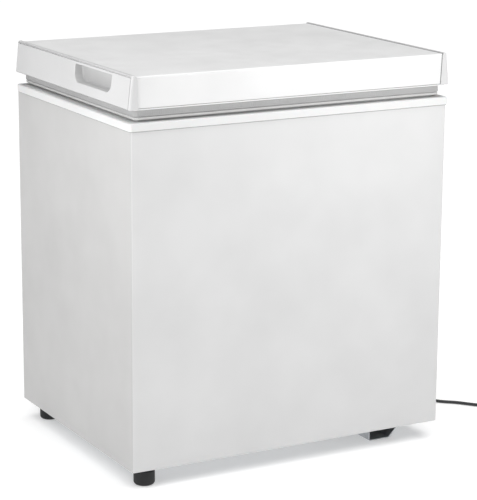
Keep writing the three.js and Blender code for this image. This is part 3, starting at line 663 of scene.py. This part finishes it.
def make_back():
    """Zinc-coated rear sheet with pressed stiffening swages and the compressor's doorway."""
    (x0, x1), (_, y1), (z0, z1) = span("back_panel")
    columns = [x0, x0 + 40, DOOR["left"] - 40, DOOR["left"], DOOR["right"], x1 - 8, x1]
    rows = [(z0, 0.0), (DOOR["top"], 0.0)]
    for z in range(270, 690, 70):
        rows += [(z + up, depth) for up, depth in SWAGE]
    rows += [(z1, 0.0)]
    shape = Shape()
    grid = []
    for z, depth in rows:
        depths = [0.0] + [depth] * (len(columns) - 3) + [0.0, 0.0]
        grid.append(shape.loop([(x, y1 - inwards, z) for x, inwards in zip(columns, depths)]))
    doorway = (0, columns.index(DOOR["left"]))
    for r, (low, high) in enumerate(zip(grid, grid[1:])):
        for c in range(len(columns) - 1):
            if (r, c) != doorway:
                shape.faces.append((low[c], low[c + 1], high[c + 1], high[c]))
    back = piece("rear_sheet", shape, ZINC, stands_for=("back_panel",), sharp=20)
    thicken(back, SHEET, -1)


def make_collar():
    """The moulded frame round the opening, with a dropped outer skirt and an inner ledge."""
    outer = plan("top_collar")
    z0, z1 = span("top_collar")[2]
    low = SKIRT_LOW
    ledge = grow(OPENING, 18)
    rise = 2.4
    rows = [level(grow(outer, -3), 3, low + 2.2), level(grow(outer, -1.4), 4.6, low + 2.2)]
    rows += [level(grow(outer, -1.0), 5.0, low), level(grow(outer, -0.5), 5.5, low)]
    rows += [level(outer, 6, low + 0.7)]
    rows += [level(grow(outer, s - rise), 6, z1 - rise + c) for c, s in fillet(rise, 5)]
    rows += [level(grow(ledge, 2 - s), 36 - s, z1 - 2 + c) for s, c in fillet(2, 4)]
    rows += [level(grow(ledge, c - 2), 32 + c, LEDGE_TOP + 2 - s) for s, c in fillet(2, 3)]
    rows += [level(grow(OPENING, 1.6 - s), 26.6 - s, LEDGE_TOP - 1.6 + c) for s, c in fillet(1.6, 4)]
    rows += [level(OPENING, 25, z0 + 0.6), level(grow(OPENING, 0.6), 25.6, z0)]
    rows += [level(grow(OPENING, 3), 28, z0), level(grow(OPENING, 3), 28, LEDGE_UNDER)]
    rows += [level(grow(ledge, 3), 37, LEDGE_UNDER), level(grow(ledge, 3), 37, z1 - 3)]
    rows += [level(grow(outer, -3), 3, z1 - 3)]
    shape = Shape()
    shape.loft(rows, ring=True)
    piece("collar_moulding", shape, WHITE_PLASTIC, stands_for=("top_collar",))
    make_collar_bead(outer)


def make_collar_bead(outer):
    """A thin dark strip where the collar's skirt meets the painted sheet: painted shadow under the skirt."""
    section = ((-0.9, 0.05), (-1.2, 0.9), (-1.9, 1.5), (-3.2, 1.5), (-3.2, 0.05))
    bead = Shape()
    bead.loft([level(grow(outer, reach), 6 + reach, SKIRT_LOW - drop) for reach, drop in section], ring=True)
    piece("collar_bead", bead, COLLAR_SHADOW_STRIP, sharp=60)


def make_liner():
    """The stepped inner tank, its corners rounded in plan and at the floor."""
    room = grow(OPENING, 3.3)
    x0, x1, y0, y1 = room
    top = span("inner_liner")[2][1]
    plan_radius, bend = 28.0, 14.0
    rows = [level(room, plan_radius, top), level(room, plan_radius, STEP_Z + bend)]
    for s, c in fillet(bend, 5):
        rows.append(level((x0, x1 - bend + c, y0, y1), plan_radius, STEP_Z + bend - s))
    for s, c in fillet(bend, 5):
        rows.append(level((x0, STEP_X + bend - s, y0, y1), plan_radius, STEP_Z - bend + c))
    deep = (x0, STEP_X, y0, y1)
    for s, c in fillet(bend, 5):
        rows.append(level(grow(deep, c - bend), plan_radius - bend + c, WELL_FLOOR + bend - s))
    rows.append(level(grow(deep, -bend - 40), 6, WELL_FLOOR))
    shape = Shape()
    loops = shape.loft(rows)
    shape.faces.append(tuple(loops[-1]))
    liner = piece("liner_tank", shape, LINER, stands_for=("inner_liner",))
    thicken(liner, 1.2, 1)


def make_feet():
    """Round moulded feet with a rolled lower edge and a seat groove."""
    for word in ("front", "rear"):
        node = "foot_%s_left" % word
        (x0, x1), (y0, y1), (z0, z1) = span(node)
        radius = (x1 - x0) / 2
        roll = 6.5
        profile = [(radius - roll - 6, 0.7), (radius - roll - 5, 0.0)]
        profile += [(radius - roll + s, roll - c) for s, c in fillet(roll, 8)]
        profile += [(radius, 29), (radius - 0.8, 30.4), (19, 31), (19, 32.2), (20.2, 33), (20.2, z1)]
        place = ((x0 + x1) / 2, (y0 + y1) / 2, 0)
        piece("%s_left_foot" % word, turned(profile, place), RUBBER, stands_for=(node,))


def make_channel():
    """The pressed channel on which the compressor's corner stands, with turned-out rims."""
    (x0, _), stations, (_, z1) = span("base_channel")
    foot, left, right, rim = 26.0, 27.0, 62.0, 14.0
    middle = x0 + rim + left
    t, bend = 1.8, 3.0
    low = [
        (-left - rim, z1 - t), (-left - 1.5, z1 - t), (-left, z1 - t - 1.2), (-foot, bend),
        (-foot + 0.8, 0.8), (-foot + bend, 0.0), (foot - bend, 0.0), (foot + 0.4, 0.4),
        (foot + 1.6, 1.6), (right - 0.6, z1 - t - 1.2), (right + 1.5, z1 - t), (right + rim, z1 - t),
    ]
    high = [
        (right + rim, z1), (right - 0.8, z1), (right - 2.6, z1 - 1.6), (foot - 1.4, t + 0.6),
        (foot - bend, t), (-foot + bend, t), (-foot + t + 0.2, t + 0.9), (-left + t, z1 - 1.6),
        (-left - 0.6, z1), (-left - rim, z1),
    ]
    shape = Shape()
    shape.loft([[(middle + u, y, z) for u, z in low + high] for y in stations], caps=True)
    piece("compressor_channel", shape, ZINC, stands_for=("base_channel",), sharp=30)


# ---- lid ----

CAP_TOP_X = 364.3
EDGE = 5.0
SOFT_EDGES = (EDGE, 1.5, 0.9, 0.7)
GROOVE = (2.2, 0.6, 4.6, 0.6)
GROOVE_DEPTH = 3.6
SEAM_X = 351.0
LIP = 2.0
SEAM_BEAD = {"left": 0.3, "right": 1.3}
RECESS = {"front": -203.0, "rear": -29.0, "low": 799.0, "high": 835.0, "depth": 24.0, "corner": 20.0}


def cap_face(z):
    """Half-width of the cap's outer face, which leans out towards its lower edge."""
    return CAP_TOP_X + (LID_X - CAP_TOP_X) * (LID_TOP - z) / (LID_TOP - LID_LOW)


def lid_section(front, rear=None, top=None, low=None):
    """The lid's side outline (y, z), moved inwards by an amount on each side."""
    rear, top, low = (front if amount is None else amount for amount in (rear, top, low))
    bounds = (LID_FRONT + front, LID_REAR - rear, LID_LOW + low, LID_TOP - top)
    return rounded(bounds, (max(1.6 - front, 0.4), 0.6, max(1.5 - rear, 0.5), max(4.0 - front, 1.0)), 7)


def recess_outline(amount):
    """The hand recess's outline (y, z), moved outwards by an amount."""
    front, rear, low, high = (RECESS[edge] for edge in ("front", "rear", "low", "high"))
    bounds = (front - amount, rear + amount, low - amount, high + amount)
    low, high = RECESS["corner"] + amount, max(2.5 + amount, 0.5)
    return rounded(bounds, (low, low, high, high), 7)


def seam_reach(z):
    """The cap laps a little less over the lid's top than over its front and back."""
    return SEAM_X + 6 * smooth_step(z, LID_TOP - 7, LID_TOP - 1)


def cap_row(side, section, reach):
    """One loop of an end cap: an outline (y, z) set out from the lid's middle by reach(z)."""
    return [(side * reach(z), y, z) for y, z in section]


def cap_outside(side):
    """The cap's rows from its lap over the sheet, round its soft edge, to the line pressed in its face."""
    rows = [
        cap_row(side, lid_section(LIP), seam_reach),
        cap_row(side, lid_section(0.9), seam_reach),
        cap_row(side, lid_section(0.25), lambda z: seam_reach(z) + 0.25),
        cap_row(side, lid_section(0.0), lambda z: seam_reach(z) + 1.0),
    ]
    for s, c in fillet(EDGE, 6):
        insets = [reach * (1 - c / EDGE) for reach in SOFT_EDGES]
        rows.append(cap_row(side, lid_section(*insets), lambda z, s=s: cap_face(z) - EDGE + s))
    for across, depth in ((0.3, GROOVE_DEPTH), (0.9, GROOVE_DEPTH), (1.0, 0.0)):
        insets = [reach + width * across for reach, width in zip(SOFT_EDGES, GROOVE)]
        rows.append(cap_row(side, lid_section(*insets), lambda z, d=depth: cap_face(z) - d))
    return rows


def recess_rows(side, back):
    """The recess's rows: four down its rounded mouth, the rest round the bend to its back wall."""
    mouth_round, bend = 1.6, 4.0
    rows = []
    for s, c in fillet(mouth_round, 4):
        outline = recess_outline(mouth_round - s)
        rows.append(cap_row(side, outline, lambda z, c=c: cap_face(z) - mouth_round + c))
    for s, c in fillet(bend, 5):
        rows.append(cap_row(side, recess_outline(c - bend), lambda z, s=s: back + bend - s))
    return rows


def make_seam_bead(word, side):
    """A dark strip between the end cap and the lid's sheet: painted shade in the seam."""
    bead = Shape()
    width = SEAM_BEAD[word]
    section = ((2.4, 0.0), (2.4, 1.0), (1.6, 1.0), (1.3, 0.75), (1.3, 0.0))
    bead.loft([cap_row(side, lid_section(deep), lambda z, u=across * width: seam_reach(z) - u)
               for deep, across in section], ring=True)
    piece("lid_seam_" + word, bead, SEAM_SHADE_STRIP, "lid", sharp=60)


def make_end_cap(word, side):
    """Moulded end of the lid: soft edges, a leaning face and a scooped hand recess."""
    wall = 3.0
    back, inside = LID_X - RECESS["depth"], LID_X - 11.3
    shape = Shape()
    outer = shape.loft(cap_outside(side))
    rows = recess_rows(side, back)
    make_seam_bead(word, side)

    pocket = Shape()
    loops = pocket.loft(rows[3:])
    pocket.faces.append(tuple(loops[-1]))
    # The pocket takes the darker plastic: painted shade.
    piece("hand_recess_" + word, pocket, RECESS_SHADE_PLASTIC, "lid", sharp=40)

    mouth = shape.loft(rows[:4])
    shape.plate_with_hole(outer[-1], mouth[0])
    rim = shape.loop(cap_row(side, lid_section(LIP), lambda z: inside))
    shape.bridge(outer[0], rim)
    cup = shape.loft([cap_row(side, recess_outline(wall), lambda z, x=x: x) for x in (inside, back - wall)])
    shape.plate_with_hole(rim, cup[0])
    shape.faces.append(tuple(cup[-1]))
    piece("lid_cap_" + word, shape, CAP_PLASTIC, "lid", ("lid_end_cap_" + word,), sharp=40)


def make_lid_sheet():
    """The painted top sheet, folded down front and back with a hemmed edge."""
    (x0, x1), (y0, y1), (z0, z1) = span("lid_top_panel")
    bend, hem = 5.0, 7.0
    outside = [(y0 + hem, z0), (y0 + 0.9, z0), (y0, z0 + 0.9)]
    outside += [(y0 + bend - c, z1 - bend + s) for s, c in fillet(bend, 7)]
    outside += [(y1 - bend + s, z1 - bend + c) for s, c in fillet(bend, 7)]
    outside += [(y1, z0 + 0.9), (y1 - 0.9, z0), (y1 - hem, z0)]
    t = SHEET
    inner = [(y1 - hem, z0 + t), (y1 - 1.2, z0 + t)]
    inner += [(y1 - bend + s, z1 - bend + c) for s, c in reversed(fillet(bend - t, 7))]
    inner += [(y0 + bend - c, z1 - bend + s) for s, c in reversed(fillet(bend - t, 7))]
    inner += [(y0 + 1.2, z0 + t), (y0 + hem, z0 + t)]
    shape = Shape()
    shape.loft([[(x, y, z) for y, z in outside + inner] for x in (x0, x1)], caps=True)
    # The lighter copy of the white paint: painted light on the lid's top.
    piece("lid_sheet", shape, LID_PAINT_LIT, "lid", ("lid_top_panel",))


def make_lid_pan():
    """The lid's vacuum-formed lining: a flat edge, a tray behind the seal and a raised centre."""
    (x0, x1), (y0, y1), (z0, z1) = span("lid_inner_liner")
    tray = (-353.0, 353.0, -280.0, 260.0)
    crown = grow(OPENING, -8)
    tray_z, flange_z = 763.0, 778.0
    rows = [level((x0, x1, y0, y1), 3, flange_z + 1.5), level((x0, x1, y0, y1), 3, flange_z)]
    rows += [level(grow(tray, 3), 11, flange_z), level(grow(tray, 0.8), 9, flange_z - 0.8)]
    rows += [level(tray, 8, flange_z - 3)]
    rows += [level(grow(tray, c - 3), 5 + c, tray_z + 3 - s) for s, c in fillet(3, 4)]
    rows += [level(grow(crown, 3 - s), 27 - s, tray_z - 3 + c) for s, c in fillet(3, 4)]
    rows += [level(grow(crown, c - 8), 16 + c, z0 + 8 - s) for s, c in fillet(8, 6)]
    panel = grow(crown, -60)
    rows += [level(panel, 18, z0)]
    rows += [level(grow(panel, -5), 15, z0 + 3), level(grow(panel, -40), 8, z0 + 3)]
    shape = Shape()
    loops = shape.loft(rows)
    shape.faces.append(tuple(loops[-1]))
    pan = piece("lid_lining", shape, WHITE_PLASTIC, "lid", ("lid_inner_liner",))
    thicken(pan, 1.4, 1)


def ribbed_level(bounds, amount, z, depth):
    """A loop round the seal at even steps, rippled outwards by shallow upright ribs."""
    radius, pitch, per_rib = 6.0, 5.0, 4
    path = [Vector(p) for p in rounded(bounds, radius, 8)]
    path.append(path[0])
    total = sum((b - a).length for a, b in zip(path, path[1:]))
    count = round(total / pitch) * per_rib
    points = []
    edge, walked = 0, 0.0
    for i in range(count):
        at = total * i / count
        while walked + (path[edge + 1] - path[edge]).length < at:
            walked += (path[edge + 1] - path[edge]).length
            edge += 1
        ahead = (path[edge + 1] - path[edge]).normalized()
        here = path[edge] + ahead * (at - walked)
        out = Vector((ahead.y, -ahead.x))
        reach = amount + depth * abs(math.sin(math.pi * i / per_rib))
        centre = Vector((
            min(max(here.x, bounds[0] + radius), bounds[1] - radius),
            min(max(here.y, bounds[2] + radius), bounds[3] - radius),
        ))
        if (here - centre).length > radius / 2 and amount > -radius:
            out = (here - centre).normalized()
        x = min(max(here.x + out.x * reach, bounds[0] - reach), bounds[1] + reach)
        y = min(max(here.y + out.y * reach, bounds[2] - reach), bounds[3] + reach)
        points.append((x, y, z))
    return points


def make_seal():
    """Magnetic seal: a ribbed skirt over the tray's side, a bellows fold and a flat magnet strip. The skirt's
    vinyl is darker than the fold's: painted shade under the lid's overhang.
    """
    outer = plan("lid_gasket")
    low = span("lid_gasket")[2][0]
    skirt_top = LID_LOW - 0.2
    skirt = ((3.2, skirt_top, 0.0), (3.2, low + 12.0, 0.9), (2.4, low + 10.4, 0.9), (0.6, low + 9.8, 0.0),
             (0.6, skirt_top, 0.0))
    fold = ((0.5, low + 9.7, 0.0), (2.0, low + 9.2, 0.0), (2.7, low + 8.2, 0.4), (2.7, low + 4.8, 0.4),
            (1.6, low + 3.8, 0.0), (-1.0, low + 3.2, 0.0), (-8.6, low + 3.1, 0.0), (-8.8, low + 0.5, 0.0),
            (-9.2, low, 0.0), (-13.0, low, 0.0), (-13.4, low + 0.6, 0.0), (-13.4, low + 3.4, 0.0),
            (-16.0, low + 4.0, 0.0), (-17.0, low + 5.4, 0.0), (-17.0, low + 9.7, 0.0))
    for name, section, vinyl, stands_for in (
            ("seal_skirt", skirt, SEAL_SKIRT_SHADE, ()), ("lid_seal", fold, SEAL_VINYL, ("lid_gasket",))):
        shape = Shape()
        shape.loft([ribbed_level(outer, reach, z, depth) for reach, z, depth in section], ring=True)
        piece(name, shape, vinyl, "lid", stands_for, sharp=50)


# ---- screws ----

def screw_head(radius):
    """A pan head with a cross recess, standing on z = 0."""
    height, steps = 2.2, 48

    def ring(reach, z):
        return [(x, y, z) for x, y in circle(reach, steps)]

    def cross(scale, z):
        arm, half = radius * 0.55 * scale, radius * 0.13 * scale
        points = []
        for i in range(steps):
            angle = 2 * math.pi * i / steps
            fold = abs((angle + math.pi / 4) % (math.pi / 2) - math.pi / 4)
            reach = arm / math.cos(fold) if math.tan(fold) <= half / arm else half / math.sin(fold)
            points.append((reach * math.cos(angle), reach * math.sin(angle), z))
        return points

    shape = Shape()
    rows = [ring(radius, 0.0), ring(radius, height * 0.35), ring(radius * 0.93, height * 0.7)]
    rows += [ring(radius * 0.78, height * 0.95), ring(radius * 0.66, height), cross(1.0, height)]
    rows += [cross(0.8, height * 0.3)]
    shape.loft(rows, caps=True)
    return shape


def make_screws(name, places, facing, material, body="cabinet", radius=4.0):
    """A set of identical screws whose heads face along an axis."""
    turn = {
        "back": lambda p: (p[0], p[2], -p[1]),
        "right": lambda p: (p[2], p[0], p[1]),
    }[facing]
    shape = Shape()
    for place in places:
        shape.add(screw_head(radius), lambda p, place=place: tuple(a + b for a, b in zip(turn(p), place)))
    piece(name, shape, material, body)


# ---- rear, side and inner fittings ----

HINGE_BASE_SCREWS_Z = (680, 735)
HINGE_LEAF_SCREWS_Z = 824


def make_rear_fittings():
    """The compressor's cover, the thermostat and the two hinges, with their screws."""
    (x0, x1), (y0, y1), (z0, z1) = span("rear_cover")
    refined("rear_cover", WHITE_PLASTIC, bevel=0.6)
    inset = 7.0
    places = [(x, y1, z) for x in (x0 + inset, x1 - inset) for z in (z0 + inset, (z0 + z1) / 2, z1 - inset)]
    make_screws("rear_cover_screws", places, "back", ZINC, radius=3.4)
    refined("thermostat_housing", BLACK_PLASTIC, bevel=1.0)
    refined("thermostat_knob", WHITE_PLASTIC, "knob", bevel=0.5)
    for word in ("left", "right"):
        for part, body in (("base", "cabinet"), ("leaf", "lid"), ("pin", "cabinet"), ("spring", "cabinet")):
            refined("hinge_%s_%s" % (part, word), ZINC, body, bevel=0.0 if part == "spring" else 0.35)
        (x0, x1), (y0, y1), (z0, z1) = span("hinge_base_" + word)
        middle = (x0 + x1) / 2
        face = span("rear_cover")[1][0] + 2.5
        places = [(middle + dx, face, z) for dx in (-11, 11) for z in HINGE_BASE_SCREWS_Z]
        make_screws("hinge_base_screws_" + word, places, "back", ZINC)
        (x0, x1), (y0, y1), (z0, z1) = span("hinge_leaf_" + word)
        places = [((x0 + x1) / 2 + dx, LID_REAR + 2.8, HINGE_LEAF_SCREWS_Z) for dx in (-18, 0, 18)]
        make_screws("hinge_leaf_screws_" + word, places, "back", ZINC, "lid", 3.6)


def make_side_grille():
    refined("side_vent_grille", WHITE_PLASTIC, bevel=0.7)
    (_, x1), (y0, y1), (z0, z1) = span("side_vent_grille")
    places = [(x1, y, z) for y in (y0 + 5, y1 - 5) for z in (z0 + 5, z1 - 5)]
    make_screws("grille_screws", places, "right", WHITE_PLASTIC, radius=2.8)


def make_basket():
    """Welded wire basket on hangers, with two moulded grips."""
    (x0, x1), (y0, y1), (z0, z1) = span("basket")
    rim = (x0, x1, OPENING[2] + 5, OPENING[3] - 5)
    wire, rod_radius = 1.5, 2.2
    hanger = 1.3
    shape = Shape()
    top = z1 - 4.2
    for z in (z0 + rod_radius, z0 + 50, z0 + 96, z0 + 140, top):
        loop = level(grow(rim, -rod_radius - 0.3), 20, z)
        shape.add(tube(loop, rod_radius, closed=True))
    inside = grow(rim, -2 * rod_radius - wire - 0.3)
    low = z0 + 2 * rod_radius + wire - 0.6
    bend = 10.0

    def cross_wire(along, start, end, fixed):
        """One wire down a side, across the bottom and up the other side."""
        line = [(start, top)]
        line += [(start + bend - c, low + bend - s) for s, c in fillet(bend, 5)]
        line += [(end - bend + c, low + bend - s) for s, c in reversed(fillet(bend, 5))]
        line += [(end, top)]
        if along == "x":
            return [(u, fixed, v) for u, v in line]
        return [(fixed, u, v) for u, v in line]

    count = 17
    for i in range(count):
        y = rim[2] + 26 + (rim[3] - rim[2] - 52) * i / (count - 1)
        shape.add(tube(cross_wire("x", inside[0], inside[1], y), wire, 8))
    count = 7
    for i in range(count):
        x = rim[0] + 28 + (rim[1] - rim[0] - 56) * i / (count - 1)
        shape.add(tube([(a, b, c + 2.6) for a, b, c in cross_wire("y", inside[2], inside[3], x)], wire, 8))
    for edge, out in ((y0, -1), (y1, 1)):
        inner_y = rim[2] + 2.6 if out < 0 else rim[3] - 2.6
        z = z1 - hanger - 0.1
        far = edge - out * hanger
        corners = [(x0 + 25, inner_y, z), (x0 + 25, far - out * 6, z), (x0 + 31, far, z), (x1 - 31, far, z),
                   (x1 - 25, far - out * 6, z), (x1 - 25, inner_y, z)]
        shape.add(tube(centripetal(corners, 3.0), hanger, 8))
    piece("wire_basket", shape, BASKET_COAT, "basket", ("basket",), sharp=60)

    grips = Shape()
    for x, out in ((rim[0], 1), (rim[1], -1)):
        middle = (rim[2] + rim[3]) / 2
        centre = x + out * (rod_radius + 0.3)
        rows = []
        for step in range(13):
            share = step / 12
            y = middle - 45 + 90 * share
            swell = 0.75 + 0.25 * math.sin(math.pi * min(max(share, 0.08), 0.92))
            z = z1 - 5.0
            section = superellipse(4.4, 4.2, 2.6, 20)
            rows.append([(centre + u * swell + out * 2.4, y, z + v * swell) for u, v in section])
        grips.loft(rows, caps=True)
    piece("basket_grips", grips, BLACK_PLASTIC, "basket")


def make_compressor():
    """Hermetic compressor: a drawn two-part shell with a weld rim, on a formed foot plate."""
    (x0, x1), (y0, y1), (z0, z1) = span("compressor_shell")
    radius = (x1 - x0) / 2 - 5
    rim = radius + 5
    profile = [
        (20, 0), (38, 0), (50, 3), (58, 8), (63, 15), (radius, 28), (radius, 71),
        (radius + 1.5, 72.4), (rim, 73), (rim, 77), (radius + 1.5, 77.6),
        (radius, 79), (radius - 0.5, 104), (radius - 3, 118),
        (58, 131), (48, 140), (34, 146.6), (16, 149.5), (4, z1 - z0),
    ]
    shape = turned(profile, ((x0 + x1) / 2, (y0 + y1) / 2, z0), steps=72)
    piece("compressor_can", shape, BLACK_PAINT, stands_for=("compressor_shell",), sharp=50)
    refined("compressor_feet", BLACK_PAINT, bevel=1.0)
    for number in range(1, 5):
        refined("compressor_grommet_%d" % number, RUBBER, bevel=0.8)
    refined("relay_cover", BLACK_PLASTIC, bevel=3.0)
    for node in ("filter_drier", "suction_tube", "discharge_tube", "process_tube", "capillary_tube",
                 "condenser_tube"):
        refined(node, COPPER)
    refined("evaporator_tube", ALUMINIUM)


def make_underside():
    for node in ("bottom_panel", "compressor_floor_plate", "compartment_divider"):
        refined(node, ZINC, bevel=0.2)
    for node in ("drain_tube", "drain_outlet"):
        refined(node, WHITE_PLASTIC, bevel=0.3)
    refined("drain_cap", WHITE_PLASTIC, "cap", bevel=0.4)
    refined("drain_plug", RUBBER, "plug", bevel=0.5)
    refined("cabinet_insulation", FOAM)
    refined("lid_insulation", FOAM, "lid")


make_wrap()
make_back()
make_collar()
make_liner()
make_feet()
make_channel()
make_end_cap("left", -1)
make_end_cap("right", 1)
make_lid_sheet()
make_lid_pan()
make_seal()
make_rear_fittings()
make_side_grille()
make_basket()
make_compressor()
make_underside()


# ---- floor and studio light ----

def make_floor():
    """A plain floor of white paper, far wider than the view."""
    mesh = bpy.data.meshes.new("floor")
    reach = 60.0
    corners = [(-reach, -reach, 0), (reach, -reach, 0), (reach, reach, 0), (-reach, reach, 0)]
    mesh.from_pydata(corners, [], [(0, 1, 2, 3)])
    floor = bpy.data.objects.new("floor", mesh)
    floor.data.materials.append(FLOOR)
    link(floor)


def soft_light(name, place, aim, size, power):
    """A round soft light at a place, aimed at a point: metres and watts."""
    data = bpy.data.lights.new(name, "AREA")
    data.shape = "DISK"
    data.size = size
    data.energy = power
    light = bpy.data.objects.new(name, data)
    ahead = Vector(aim) - Vector(place)
    light.location = place
    light.rotation_euler = ahead.to_track_quat("-Z", "Y").to_euler()
    link(light)


def broad_light(name, direction, spread_degrees, strength):
    """A very wide, even light from one side of the sky."""
    data = bpy.data.lights.new(name, "SUN")
    data.angle = math.radians(spread_degrees)
    data.energy = strength
    light = bpy.data.objects.new(name, data)
    light.rotation_euler = Vector(direction).to_track_quat("-Z", "Y").to_euler()
    link(light)


def make_light():
    """A world that is white to the camera and dim as a light, one broad light and two soft ones."""
    world = bpy.data.worlds.new("studio")
    bpy.context.scene.world = world
    world.use_nodes = True
    tree = world.node_tree
    dim = tree.nodes["Background"]
    dim.inputs["Color"].default_value = (1.0, 1.0, 1.0, 1.0)
    dim.inputs["Strength"].default_value = 0.05
    bright = new_node(tree, "ShaderNodeBackground", Color=(1.0, 1.0, 1.0, 1.0), Strength=1.0)
    path = tree.nodes.new("ShaderNodeLightPath")
    choose = tree.nodes.new("ShaderNodeMixShader")
    tree.links.new(path.outputs["Is Camera Ray"], choose.inputs["Fac"])
    tree.links.new(dim.outputs["Background"], choose.inputs[1])
    tree.links.new(bright.outputs["Background"], choose.inputs[2])
    tree.links.new(choose.outputs["Shader"], tree.nodes["World Output"].inputs["Surface"])
    broad_light("overhead", (0.0, 0.02, -1.0), 80, 3.0)
    soft_light("key", (0.3, -1.05, 0.98), (0.2, -0.29, 0.65), 0.5, 3.5)
    soft_light("side_fill", (-1.2, -0.45, 1.0), (-0.37, -0.2, 0.65), 0.5, 5.2)
    bpy.context.scene.view_settings.view_transform = "Standard"


make_floor()
make_light()
